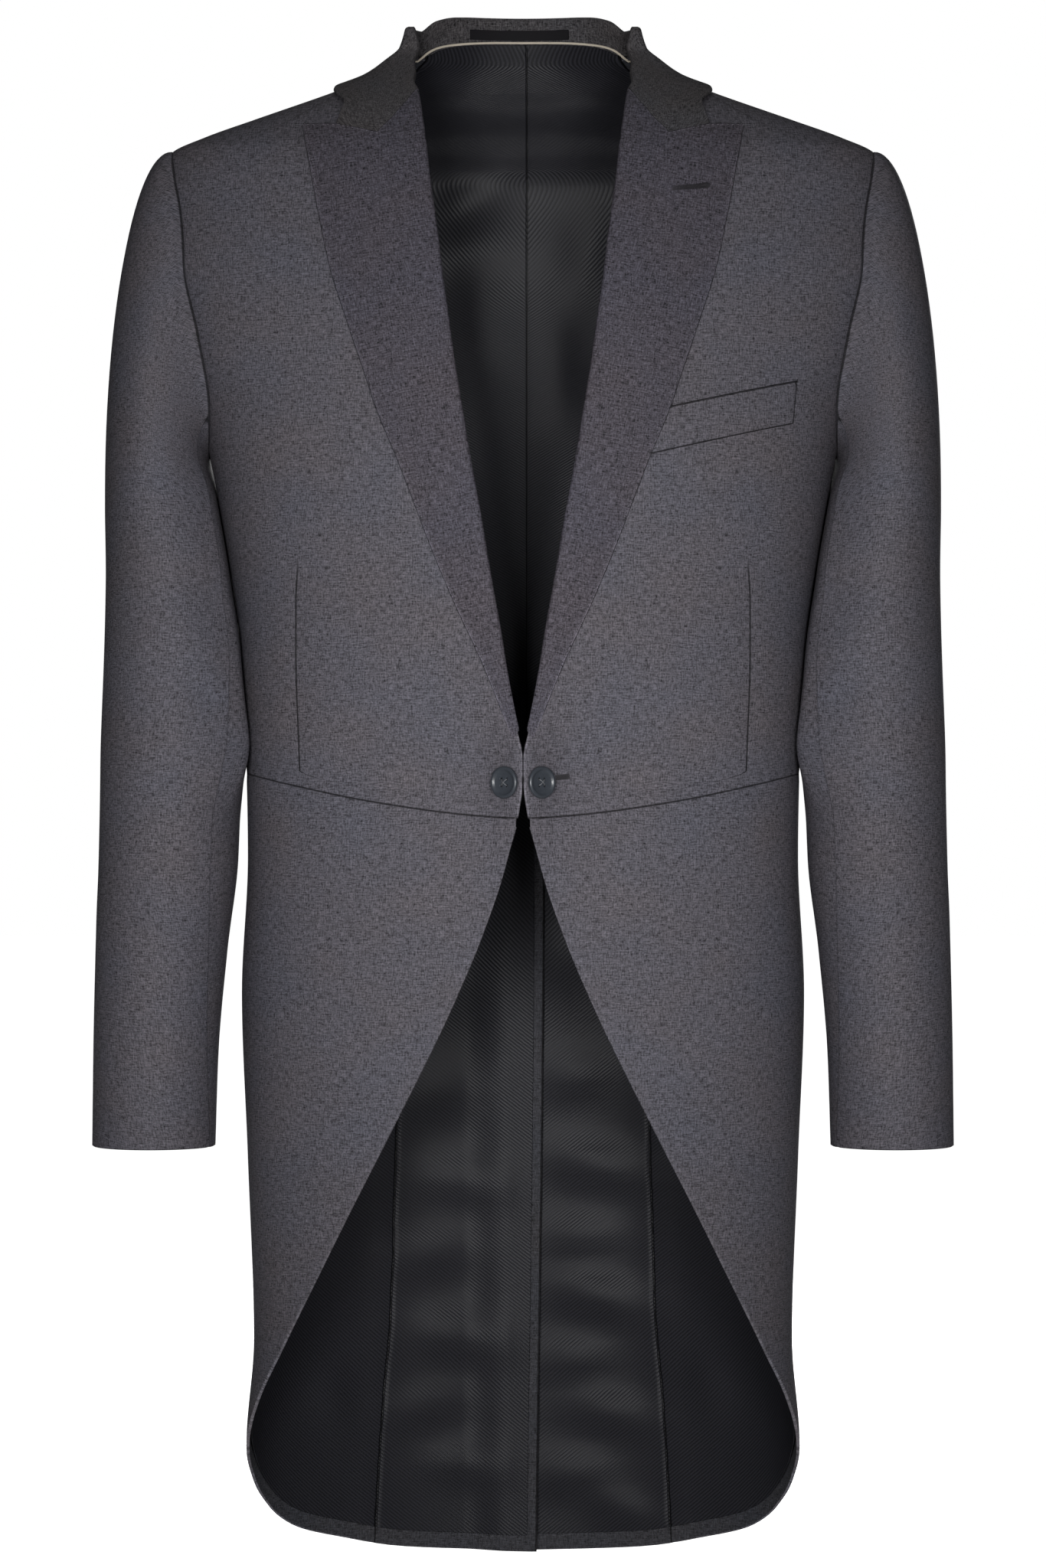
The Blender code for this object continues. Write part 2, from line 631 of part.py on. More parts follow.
def collar_front_line(station):
    crest, edge = (station.crest_x, station.crest_z), (station.edge_x, station.edge_z)
    first = COLLAR_FRONT[0]
    first_fold = fold_start((first.crest_x, first.crest_z), GORGE[0])
    fold = fold_start(crest, edge if station.bend < 1 else GORGE[0])
    leaf = []
    for share, corner in zip(COLLAR_LEAF[1:], GORGE):
        straight = between(first_fold, (first.edge_x, first.edge_z), share)
        spot = between(fold, edge, share)
        leaf.append(front_spot(spot[0] + station.bend * (corner[0] - straight[0]),
                               spot[1] + station.bend * (corner[1] - straight[1])))
    base = (station.base_x, station.base_z)
    return folded_line([front_spot(*base), front_spot(*between(base, fold, 0.5))], front_spot(*fold), leaf)


def collar_crest(x):
    return COLLAR_CREST_BACK - COLLAR_CREST_DROP * (abs(x) / COLLAR_CREST_SIDE) ** 3


def neck_stations():
    """Places round the neck that the collar, the lining and the label share."""
    start = shoulder_place(YOKE_ROWS[0])
    return [start + (1.0 - start) * c / BACK_COLUMNS for c in range(BACK_COLUMNS + 1)]


def collar_back_line(g, edge_height):
    x = form_point(g, NECK_SEAM).x
    top = collar_crest(x) - FOLD_RADIUS
    base = [(g, NECK_SEAM), (g, (NECK_SEAM + top) / 2)]
    leaf = [(g, top + share * (edge_height - top)) for share in COLLAR_LEAF[1:]]
    return folded_line(base, (g, top), leaf)


def collar():
    edge_height = Curve(COLLAR_EDGE)
    half = [collar_front_line(station) for station in COLLAR_FRONT]
    half += [collar_back_line(g, edge_height(g)) for g in neck_stations()]
    flip = Vector((-1, 1, 1))
    mirrored = [[(point * flip, normal * flip) for point, normal in line] for line in half[-2::-1]]
    wall("collar", half + mirrored, CLOTH, COLLAR_WORSTED)


def lapel_grid():
    """The facing from its fold to its edge, its top bent along the gorge."""
    start, tip = LAPEL_TOP[0], LAPEL_TOP[-1]
    top_fold = fold_start(start, LAPEL_TOP[1])
    grid = []
    for share in LAPEL_ROWS:
        inner_z = start[1] + share * (LAPEL_FOLD_END - start[1])
        outer_z = tip[1] + share * (LAPEL_TIP_END - tip[1])
        crest, edge = (ROLL(inner_z), inner_z), (LAPEL_OUTER(outer_z), outer_z)
        fold = (crest[0] + FOLD_RADIUS, inner_z) if share else top_fold
        if edge[0] < fold[0] + 1.0:
            edge = (fold[0] + 1.0, outer_z)
        bend = 1 - smooth(share / LAPEL_BEND_SHARE)
        leaf = []
        for along, corner in zip(LAPEL_LEAF[1:], LAPEL_TOP[1:]):
            straight = between(top_fold, tip, along)
            spot = between(fold, edge, along)
            leaf.append(front_spot(spot[0] + bend * (corner[0] - straight[0]),
                                   spot[1] + bend * (corner[1] - straight[1])))
        grid.append(folded_line([], front_spot(*fold), leaf))
    return grid


def lapels():
    grid = lapel_grid()
    wall("lapel_left", grid, CLOTH, LAPEL_WORSTED, 1)
    wall("lapel_right", grid, CLOTH, LAPEL_WORSTED, -1)


def welt_pocket():
    grid = []
    for share in (0.0, 0.5, 1.0):
        row = []
        for c in range(WELT_COLUMNS + 1):
            along = c / WELT_COLUMNS
            x, z = between(between(*WELT_TOP, along), between(*WELT_BOTTOM, along), share)
            row.append(on_form(*front_spot(x, z)))
        grid.append(row)
    wall("welt_pocket", grid, WELT_THICKNESS, WORSTED, depth=-(WELT_GAP + WELT_THICKNESS))


def button(name, side):
    """A turned button with a rim and a thread stem, square to the cloth under it."""
    point, normal = on_form(*front_spot(BUTTON_CENTRE, BUTTON_LEVEL))
    across = normal.cross(Vector((0, 0, 1))).normalized()
    up = across.cross(normal)
    flip = Vector((side, 1, 1))
    shape = bmesh.new()
    rings = []
    for radius, height in BUTTON_PROFILE:
        ring = []
        for step in range(BUTTON_SIDES):
            angle = 2 * math.pi * step / BUTTON_SIDES
            spoke = across * math.cos(angle) + up * math.sin(angle)
            ring.append(shape.verts.new((point + normal * height + spoke * radius) * flip))
        rings.append(ring)
    for lower, upper in zip(rings, rings[1:]):
        for step in range(BUTTON_SIDES):
            after = (step + 1) % BUTTON_SIDES
            shape.faces.new((lower[step], lower[after], upper[after], upper[step]))
    shape.faces.new(rings[0][::-1])
    shape.faces.new(rings[-1])
    add_object(name, shape, BUTTON)


def lining_top(x):
    share = min(abs(x) / COLLAR_CREST_SIDE, 1.0)
    return LINING_TOP_BACK - (LINING_TOP_BACK - LINING_TOP_SIDE) * share ** 3


def linings():
    left_edge = Curve(LEFT_TAIL_EDGE)
    right_edge = Curve(RIGHT_TAIL_EDGE)
    vent, pleat = Curve(VENT_DEPTH), Curve(PLEAT_DEPTH)
    inside = CLOTH + LINING_GAP
    insets = {"top": lining_top, "side_limit": LINING_SIDE_LIMIT, "hem_lift": LINING_HEM_RISE,
              "edge_inset": LINING_EDGE_INSET}
    ease = Curve(LINING_EASE)
    left = back_grid(left_edge, under=lambda x, z: ease(z), **insets)
    right = back_grid(lambda z: right_edge(z) - (PLEAT_LAP if z > VENT_TOP else 0.0),
                      under=lambda x, z: ease(z) + lap(x, z, lambda level: max(vent(level), pleat(level))),
                      **insets)
    skirt = skirt_grid(hem_lift=LINING_HEM_RISE, first_column=SKIRT_LINING_START)
    for name, side, back in (("left", 1, left), ("right", -1, right)):
        wall("back_lining_" + name, back, LINING, SATIN, side, inside, edges=("inner",))
        wall("skirt_lining_" + name, skirt, LINING, SATIN, side, inside, edges=("top", "outer"))


def neck_piping():
    """A thin cord that finishes the lining's edge on the collar stand."""
    inside = CLOTH + LINING_GAP + PIPING_RADIUS
    half = []
    for g in neck_stations()[1:]:
        z = lining_top(form_point(g, NECK_SEAM).x) + SEAM_GAP + PIPING_RADIUS
        half.append(form_point(g, z) - form_normal(g, z) * inside)
    flip = Vector((-1, 1, 1))
    points = half + [point * flip for point in half[-2::-1]]
    curve = bpy.data.curves.new("neck_piping", "CURVE")
    curve.dimensions = "3D"
    curve.bevel_depth = PIPING_RADIUS * MM
    curve.bevel_resolution = 1
    curve.use_fill_caps = True
    line = curve.splines.new("POLY")
    line.points.add(len(points) - 1)
    for spot, point in zip(line.points, points):
        spot.co = (*(point * MM), 1.0)
    curve.materials.append(material(PIPING))
    bpy.context.scene.collection.objects.link(bpy.data.objects.new("neck_piping", curve))


def stand_face(x, z):
    """Neck side of the collar stand at x, on the flat between two stations, and its normal."""
    side = -1 if x < 0 else 1
    spots = []
    for g in neck_stations():
        if g > 0.5:
            spots.append((form_point(g, z) - form_normal(g, z) * CLOTH, form_normal(g, z)))
    for (outer, turned), (inner, straight) in zip(spots, spots[1:]):
        if inner.x <= abs(x) + 1e-6 <= outer.x + 1e-3:
            share = (abs(x) - inner.x) / (outer.x - inner.x)
            point = inner.lerp(outer, share)
            normal = straight.lerp(turned, share).normalized()
            return Vector((point.x * side, point.y, z)), Vector((normal.x * side, normal.y, normal.z))
    raise ValueError("no collar stand at x = %.1f" % x)


def neck_label():
    low, high = LABEL_SPAN
    middle_height = sum(LABEL_HEIGHTS) / 2
    stations = [form_point(g, middle_height).x for g in neck_stations()]
    columns = [low] + sorted(x * side for x in stations for side in (-1, 1) if low < x * side < high) + [high]
    columns = [x for x, after in zip(columns, columns[1:] + [high + 1]) if after - x > 0.5]
    grid = [[stand_face(x, z) for x in columns] for z in LABEL_HEIGHTS]
    wall("neck_label", grid, LABEL_THICKNESS, LABEL, depth=LABEL_GAP)


def clear_scene():
    for item in list(bpy.data.objects):
        bpy.data.objects.remove(item, do_unlink=True)


def shell_panels():
    left_edge = Curve(LEFT_TAIL_EDGE)
    right_edge = Curve(RIGHT_TAIL_EDGE)
    vent = Curve(VENT_DEPTH)
    forepart, side_body, skirt = forepart_grid(), side_body_grid(), skirt_grid()
    backs = {"left": back_grid(left_edge), "right": back_grid(right_edge, under=lambda x, z: lap(x, z, vent))}
    for name, side in (("left", 1), ("right", -1)):
        wall("forepart_" + name, forepart, CLOTH, WORSTED, side, edges=("bottom", "outer"))
        wall("side_body_" + name, side_body, CLOTH, WORSTED, side, edges=("bottom", "inner", "outer"))
        wall("skirt_" + name, skirt, CLOTH, WORSTED, side, edges=("top", "outer"))
        wall("back_" + name, backs[name], CLOTH, WORSTED, side, edges=("inner",))


def main():
    clear_scene()
    shell_panels()
    sleeves()
    collar()
    lapels()
    welt_pocket()
    button("button_left", 1)
    button("button_right", -1)
    linings()
    neck_piping()
    neck_label()


main()
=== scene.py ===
"""Looks of a cutaway morning coat, filled out as it is worn.

Every cloth piece is a fine shell on the coat's form. A place on the form is (g, z): g runs
from 0 at the centre front, through 0.5 at the side, to 1 at the centre back, and z is the
height. The tables are in millimetres, and meshes are made in metres.
"""
import logging
import math
from dataclasses import dataclass, field
from enum import Enum
from typing import Callable, Optional, Sequence

import bpy
import numpy as np
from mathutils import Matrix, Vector


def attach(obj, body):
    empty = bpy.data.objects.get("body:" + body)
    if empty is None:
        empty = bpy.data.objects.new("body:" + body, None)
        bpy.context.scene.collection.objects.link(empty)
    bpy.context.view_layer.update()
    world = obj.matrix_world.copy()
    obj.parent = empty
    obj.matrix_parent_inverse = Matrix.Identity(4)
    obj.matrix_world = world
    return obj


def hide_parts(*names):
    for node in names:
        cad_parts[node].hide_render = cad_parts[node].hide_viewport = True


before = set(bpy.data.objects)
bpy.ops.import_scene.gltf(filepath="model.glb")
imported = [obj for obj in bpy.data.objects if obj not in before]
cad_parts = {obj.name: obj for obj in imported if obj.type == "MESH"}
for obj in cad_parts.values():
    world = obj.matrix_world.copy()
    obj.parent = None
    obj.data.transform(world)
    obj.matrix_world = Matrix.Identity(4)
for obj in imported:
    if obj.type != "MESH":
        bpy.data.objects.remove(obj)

log = logging.getLogger("morning_coat")
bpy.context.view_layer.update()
MM = 0.001
Table = Sequence[tuple[float, float]]
Array = np.ndarray


class Side(Enum):
    """Which half of the coat a piece belongs to, by the wearer."""

    LEFT = 1
    RIGHT = -1

    @property
    def word(self) -> str:
        """The side's name as the frame's nodes spell it."""
        return self.name.lower()


class Held(Enum):
    """How a piece of cloth is held, in the words the frame takes."""

    HUNG = "hung"
    STRETCHED = "stretched"
    LAID = "laid"


class SmoothCurve:
    """A smooth curve through a short table of (place, value), with no overshoot."""

    def __init__(self, rows: Table) -> None:
        """Sort the rows and work out a slope at each.

        Args:
            rows: Pairs of (place, value), in any order.
        """
        ordered = sorted(rows)
        self.places = np.array([row[0] for row in ordered], float)
        self.values = np.array([row[1] for row in ordered], float)
        rises = np.diff(self.values) / np.diff(self.places)
        slopes = [rises[0]]
        for before, after in zip(rises, rises[1:]):
            product = before * after
            slopes.append(2 * product / (before + after) if product > 0 else 0.0)
        slopes.append(rises[-1])
        self.slopes = np.array(slopes)

    def __call__(self, place: Array) -> Array:
        """Value of the curve, held level past its ends.

        Args:
            place: Where to read it, a number or an array.

        Returns:
            The values, in the shape of `place`.
        """
        place = np.clip(np.asarray(place, float), self.places[0], self.places[-1])
        index = np.clip(np.searchsorted(self.places, place, side="right") - 1, 0, len(self.places) - 2)
        span = self.places[index + 1] - self.places[index]
        t = (place - self.places[index]) / span
        start, end = self.values[index], self.values[index + 1]
        leave, arrive = self.slopes[index] * span, self.slopes[index + 1] * span
        s = 1 - t
        held = start * (1 + 2 * t) * s * s + end * t * t * (3 - 2 * t)
        return held + leave * t * s * s - arrive * t * t * s


def smooth(t: Array) -> Array:
    """Ease from 0 to 1 as t goes from 0 to 1."""
    t = np.clip(t, 0.0, 1.0)
    return t * t * (3 - 2 * t)


def signed_power(value: Array, power: Array) -> Array:
    """Raise the size of a value to a power and keep its sign."""
    return np.sign(value) * np.abs(value) ** power


def unit(vectors: Array) -> Array:
    """Vectors of length 1 along the given ones."""
    size = np.linalg.norm(vectors, axis=-1, keepdims=True)
    return vectors / np.maximum(size, 1e-9)


@dataclass(frozen=True)
class Section:
    """One level cut through the form: its half width, depths, side depth and roundness."""

    z: float
    half_width: float
    front: float
    back: float
    side_y: float
    power: float


SECTIONS = (
    Section(24, 72, 6, 55, 8, 2.0),
    Section(-2, 79, 6, 62, 8, 2.0),
    Section(-12, 90, 18, 66, 7, 2.0),
    Section(-22, 104, 34, 70, 5, 2.0),
    Section(-31, 127, 46, 74, 4, 2.0),
    Section(-50, 180, 68, 88, 3, 2.1),
    Section(-62, 213, 77.5, 95, 2.5, 2.15),
    Section(-72, 234, 85, 101, 2, 2.2),
    Section(-84, 241, 91.5, 105, 1.5, 2.25),
    Section(-100, 243.5, 98, 108, 1, 2.3),
    Section(-150, 245, 114, 115, 0, 2.35),
    Section(-200, 231, 124, 116, 0, 2.4),
    Section(-240, 216, 129, 113, 0, 2.4),
    Section(-275, 208, 130, 109, 0, 2.4),
    Section(-330, 198, 127, 101, 0, 2.35),
    Section(-400, 188, 119, 90, 0, 2.3),
    Section(-480, 184, 111, 83, 0, 2.3),
    Section(-540, 183, 113, 92, 0, 2.3),
    Section(-630, 187, 119, 110, 0, 2.3),
    Section(-740, 183, 120, 118, 0, 2.3),
    Section(-860, 179, 118, 122, 0, 2.3),
    Section(-930, 184, 116, 124, 0, 2.3),
    Section(-1030, 184, 114, 126, 0, 2.3),
)


@dataclass
class Form:
    """The filled-out shape the coat's cloth lies on."""

    ridge_height: float = 18.0
    ridge_half_width: float = 20.0
    ridge_half_length: float = 45.0
    button_level: float = -490.6
    armhole_top: float = -72.0
    armhole_bottom: float = -275.0
    armhole_front: float = 57.0
    armhole_back: float = 72.0
    armhole_taper: float = 0.2
    armhole_y: float = -4.0
    curves: dict = field(default_factory=dict)

    def __post_init__(self) -> None:
        """Make a smooth curve of each column of the sections."""
        for name in ("half_width", "front", "back", "side_y", "power"):
            self.curves[name] = SmoothCurve([(row.z, getattr(row, name)) for row in SECTIONS])

    def point(self, g: Array, z: Array) -> Array:
        """Points of the form's outer face on the wearer's left, past the centre for g over 1.

        Args:
            g: Places round the form.
            z: Heights.

        Returns:
            Points in millimetres, with a last axis of 3.
        """
        g, z = np.broadcast_arrays(np.asarray(g, float), np.asarray(z, float))
        turn = np.pi * g
        power = 2 / self.curves["power"](z)
        x = self.curves["half_width"](z) * signed_power(np.sin(turn), power)
        ahead = np.cos(turn)
        depth = np.where(ahead > 0, self.curves["front"](z), self.curves["back"](z))
        y = self.curves["side_y"](z) - depth * signed_power(ahead, power)
        ridge = np.exp(-(x / self.ridge_half_width) ** 2)
        ridge = ridge * np.exp(-((z - self.button_level) / self.ridge_half_length) ** 2)
        y = np.where(ahead > 0, y - self.ridge_height * ridge, y)
        return np.stack([x, y, z], axis=-1)

    def normal(self, g: Array, z: Array) -> Array:
        """Outward directions of the form at the given places."""
        across = self.point(g + 0.002, z) - self.point(g - 0.002, z)
        along = self.point(g, z + 1.0) - self.point(g, z - 1.0)
        return unit(np.cross(across, along))

    def girth(self, g: Array, z: Array) -> Array:
        """Distance round the form from the centre front to each place, at its own height."""
        steps = np.linspace(0, 1, 25)[:, None, None]
        run = np.diff(self.point(g * steps, z + 0 * steps), axis=0)
        return np.linalg.norm(run, axis=-1).sum(axis=0) * np.sign(g)

    def front_place(self, x: Array, z: Array) -> Array:
        """Where the front half of the form is x from the centre."""
        ratio = np.minimum(np.abs(x) / self.curves["half_width"](z), 1.0)
        return np.sign(x) * np.arcsin(ratio ** (self.curves["power"](z) / 2)) / np.pi

    def back_place(self, x: Array, z: Array) -> Array:
        """Where the back half of the form is x from the centre, past 1 when x is negative."""
        return 1.0 - self.front_place(x, z)

    def depth_place(self, y: Array, z: Array) -> Array:
        """Where the form's side reaches the depth y."""
        inward = self.curves["side_y"](z) - y
        depth = np.where(inward > 0, self.curves["front"](z), self.curves["back"](z))
        turn = np.arccos(np.minimum(np.abs(inward) / depth, 1.0) ** (self.curves["power"](z) / 2)) / np.pi
        return np.where(inward > 0, turn, 1.0 - turn)

    def armhole(self, z: Array) -> tuple[Array, Array]:
        """The places where the armhole crosses the height z: in front, and behind."""
        middle = (self.armhole_top + self.armhole_bottom) / 2
        t = (np.asarray(z, float) - middle) / (self.armhole_top - middle)
        reach = np.sqrt(np.maximum(1 - t * t, 0.0))
        centre = self.armhole_y * (1 + t)
        front = centre - self.armhole_front * reach * (1 - self.armhole_taper * t)
        return self.depth_place(front, z), self.depth_place(centre + self.armhole_back * reach, z)


@dataclass(frozen=True)
class Cut:
    """The coat's own lines: seams, edges and hem, each a short table in millimetres."""

    shoulder: Table = ((-4, 78), (-29, 117), (-40, 133), (-56, 158), (-63, 177), (-67, 198), (-70, 217))
    roll: Table = ((0, 70), (-45, 66), (-90, 61.5), (-132, 56), (-193, 48), (-253, 39),
                   (-312, 28.5), (-371, 18.5), (-430, 8), (-465, 1))
    front_edge: Table = ((-460, 3.6), (-475, 0.8), (-490, 1), (-505, 2), (-516, 4.5))
    neck_edge: Table = ((-4, 77.4), (-20, 75), (-34, 71.4))
    lapel_edge: Table = ((-60, 144), (-86, 139), (-122, 132), (-154, 125), (-185, 116), (-214, 105.5),
                         (-251, 93), (-282, 80), (-314, 68.5), (-351, 53.5), (-390, 37), (-428, 19),
                         (-453, 6))
    side_seam: Table = ((-200, 202.2), (-228, 172), (-250, 152), (-330, 112), (-400, 88), (-484.5, 74))
    hem: Table = ((0.0, -500), (0.0055, -521), (0.019, -560), (0.051, -618), (0.0985, -678), (0.182, -758),
                  (0.264, -820), (0.338, -863), (0.395, -890), (0.438, -911), (0.5, -938), (0.544, -952),
                  (0.58, -965), (0.613, -975), (0.643, -984), (0.703, -996), (0.783, -1005),
                  (0.865, -1013), (0.928, -1015.5), (1.0, -1017))
    left_tail_edge: Table = ((-500, 0.1), (-512, -6), (-1017, -6))
    right_tail_edge: Table = ((-500, 0.1), (-512, -14), (-560, -14), (-1017, -9))
    vent_depth: Table = ((-460, 0), (-484.5, 2.6), (-500, 4.6), (-1017, 8))
    waist_front: float = -513.8
    waist_rise: float = 29.3
    waist_power: float = 1.6
    tail_seam_waist: float = 0.886
    tail_seam_hem: float = 0.83
    vent_top: float = -500.0
    fold_foot: float = -455.0
    fold_gap: float = 3.4
    lap_start: float = 42.0
    lap_end: float = 9.0
    yoke_rows: tuple = (-4, -20, -34, -46, -56, -63, -67, -70)
    armhole_rows: tuple = (-72, -80, -94, -114, -140, -170, -200, -228, -250, -266, -275)
    waist_steps: tuple = (1 / 6, 2 / 6, 3 / 6, 4 / 6, 5 / 6, 0.92, 1.0)
    skirt_steps: tuple = (0.0, 0.1, 0.2, 0.3, 0.4, 0.5, 0.6, 0.7, 0.8, 0.9, 1.0)
    vent_steps: tuple = (0.03, 0.052)
    front_columns: tuple = (0.0, 0.04, 0.11, 0.2, 0.31, 0.44, 0.58, 0.72, 0.86, 1.0)
    side_columns: int = 5
    back_columns: int = 8
    side_top: float = -200

    @property
    def waist_side(self) -> float:
        """Height of the waist seam at the side and behind."""
        return self.waist_front + self.waist_rise


FORM = Form()
CUT = Cut()


SKIRT_SPLIT = 5


def split(values: Sequence[float], steps: int) -> Array:
    """The values with steps - 1 more, evenly spaced, between each two."""
    count = len(values)
    return np.interp(np.linspace(0, count - 1, (count - 1) * steps + 1), np.arange(count), values)


class Pattern:
    """Lays the coat's panels out as coarse grids of places (g, z)."""

    def __init__(self) -> None:
        """Make a smooth curve of each line of the cut."""
        self.shoulder = SmoothCurve(CUT.shoulder)
        self.roll = SmoothCurve(CUT.roll)
        self.front_edge = SmoothCurve(CUT.front_edge)
        self.neck_edge = SmoothCurve(CUT.neck_edge)
        self.lapel_edge = SmoothCurve(CUT.lapel_edge)
        self.side_seam = SmoothCurve(CUT.side_seam)
        self.hem = SmoothCurve(CUT.hem)
        self.vent_depth = SmoothCurve(CUT.vent_depth)

    def waist(self, g: float) -> float:
        """Height of the waist seam: it dips from the side to the centre front."""
        if g >= 0.5:
            return CUT.waist_side
        x = float(FORM.point(g, CUT.waist_front)[0])
        share = x / float(FORM.curves["half_width"](CUT.waist_front))
        return CUT.waist_front + CUT.waist_rise * share ** CUT.waist_power

    def forepart_start(self, z: float) -> float:
        """The forepart's front boundary: neck, the lapel's fold, then the front edge."""
        if z >= CUT.neck_edge[-1][0]:
            return float(FORM.front_place(self.neck_edge(z), z))
        if z >= CUT.fold_foot:
            return float(FORM.front_place(self.roll(z) + CUT.fold_gap, z))
        return float(FORM.front_place(self.front_edge(z), z))

    def shoulder_place(self, z: float) -> float:
        """Where the shoulder seam crosses the height z."""
        return max(float(FORM.front_place(self.shoulder(z), z)), self.forepart_start(z) + 0.012)

    def tail_seam(self, z: float) -> float:
        """Where the seam between the tail and the skirt crosses the height z."""
        foot = float(self.hem(CUT.tail_seam_hem))
        t = min(max((z - CUT.waist_side) / (foot - CUT.waist_side), 0.0), 1.0)
        return CUT.tail_seam_waist + (CUT.tail_seam_hem - CUT.tail_seam_waist) * t

    def back_start(self, z: float) -> float:
        """The back's outer boundary: shoulder seam, armhole, side seam, then tail seam."""
        if z in CUT.yoke_rows:
            return self.shoulder_place(z)
        if z in CUT.armhole_rows and z > CUT.side_top:
            return float(FORM.armhole(z)[1])
        if z >= CUT.waist_side:
            return float(FORM.back_place(self.side_seam(z), z))
        return self.tail_seam(z)

    @staticmethod
    def level(step: float, waist: float) -> float:
        """Height a share of the way from the armhole's foot to the waist seam."""
        return FORM.armhole_bottom + step * (waist - FORM.armhole_bottom)

    def forepart(self) -> Array:
        """Places of the forepart, rows from the neck down, columns from the front edge."""
        edge = float(FORM.front_place(CUT.front_edge[-1][1], CUT.waist_front))
        waists = [self.waist(edge + share * (0.5 - edge)) for share in CUT.front_columns]
        rows = [(z, None) for z in CUT.yoke_rows + CUT.armhole_rows]
        rows += [(None, step) for step in CUT.waist_steps]
        grid = []
        for height, step in rows:
            first = height if step is None else self.level(step, waists[0])
            start, end = self.forepart_start(first), 0.5
            if first in CUT.yoke_rows:
                end = self.shoulder_place(first)
            elif first in CUT.armhole_rows:
                end = float(FORM.armhole(first)[0])
            grid.append([(start + share * (end - start), height if step is None else self.level(step, waist))
                         for share, waist in zip(CUT.front_columns, waists)])
        return np.array(grid)

    def side_body(self) -> Array:
        """Places of the panel under the arm."""
        heights = [z for z in CUT.armhole_rows if z <= CUT.side_top]
        heights += [self.level(step, CUT.waist_side) for step in CUT.waist_steps]
        shares = np.linspace(0, 1, CUT.side_columns + 1)
        grid = []
        for z in heights:
            start = float(FORM.armhole(z)[1]) if z in CUT.armhole_rows else 0.5
            grid.append([(start + share * (self.back_start(z) - start), z) for share in shares])
        return np.array(grid)

    def skirt(self, hem_lift: float = 0.0, first_column: int = 0) -> Array:
        """Places of the skirt, rows from the waist seam to the hem, columns from the front.

        Args:
            hem_lift: How far the last row stays above the hem.
            first_column: The column it starts from, for a lining that stops short of the front.

        Returns:
            The grid of places.
        """
        edge = float(FORM.front_place(CUT.front_edge[-1][1] + 0.6, CUT.waist_front))
        columns = [(edge + share * (0.5 - edge),) * 2 for share in split(CUT.front_columns, SKIRT_SPLIT)]
        for share in np.linspace(0, 1, CUT.side_columns * SKIRT_SPLIT + 1)[1:]:
            columns.append((0.5 + share * (CUT.tail_seam_waist - 0.5),
                            0.5 + share * (CUT.tail_seam_hem - 0.5)))
        grid = []
        for step in CUT.skirt_steps:
            row = []
            for waist_g, hem_g in columns[first_column * SKIRT_SPLIT:]:
                waist = self.waist(waist_g)
                z = waist + step * (float(self.hem(hem_g)) - waist) + (hem_lift if step == 1 else 0.0)
                row.append((waist_g + step * (hem_g - waist_g), z))
            grid.append(row)
        return np.array(grid)

    def back(self, edge: SmoothCurve, top: Optional[Callable[[float], float]] = None, side_limit: float = 0.0,
             hem_lift: float = 0.0, edge_inset: float = 0.0, pleat: float = 0.0) -> Array:
        """Places of the back and its tail in one, out to the curve `edge` at the centre.

        Args:
            edge: Distance of the centre edge from the middle, by height.
            top: Height of a further upper edge, by distance from the middle.
            side_limit: How far from the centre it may reach above the waist.
            hem_lift: How far the last row stays above the hem.
            edge_inset: How far the edge stays inside the vent's edge.
            pleat: How far the edge passes the centre above the vent.

        Returns:
            The grid of places.
        """
        levels = [(z, None) for z in CUT.yoke_rows + CUT.armhole_rows]
        levels += [(self.level(step, CUT.waist_side), None) for step in CUT.waist_steps]
        levels += [(None, step) for step in sorted(CUT.vent_steps + CUT.skirt_steps[1:])]
        grid = []
        for height, step in levels:
            row = []
            for share in np.linspace(0, 1, CUT.back_columns + 1):
                foot = float(self.hem(CUT.tail_seam_hem + share * (1.0 - CUT.tail_seam_hem)))
                z = height
                if step is not None:
                    z = CUT.waist_side + step * (foot - CUT.waist_side) + (hem_lift if step == 1 else 0.0)
                start = self.back_start(height) if step is None else self.tail_seam(z)
                start = max(start, side_limit)
                centre = float(edge(z)) + (edge_inset if z < CUT.vent_top else -pleat)
                row.append((start + share * (float(FORM.back_place(centre, z)) - start), z))
            grid.append(row)
        if top:
            first = [(g, top(abs(float(FORM.point(g, z)[0])))) for g, z in grid[0]]
            grid.insert(0, first)
        return np.array(grid)


PATTERN = Pattern()


def resampled(places: Array, steps: int) -> Array:
    """Places with more columns, evenly spaced between the ones given."""
    count = places.shape[1]
    across = np.linspace(0, count - 1, (count - 1) * steps + 1)
    index = np.clip(across.astype(int), 0, count - 2)
    share = (across - index)[None, :, None]
    return places[:, index] * (1 - share) + places[:, index + 1] * share


def refine(grid: Array, rows: int, columns: int) -> Array:
    """Read a coarse grid finer: smoothly down its rows and evenly across its columns.

    Args:
        grid: Coarse values, rows by columns by anything.
        rows: Steps to each coarse row.
        columns: Steps to each coarse column.

    Returns:
        The finer grid, which keeps every coarse point.
    """
    count, width, depth = grid.shape
    down = np.linspace(0, count - 1, (count - 1) * rows + 1)
    tall = np.empty((len(down), width, depth))
    for c in range(width):
        for k in range(depth):
            tall[:, c, k] = SmoothCurve(list(enumerate(grid[:, c, k])))(down)
    return resampled(tall, columns)


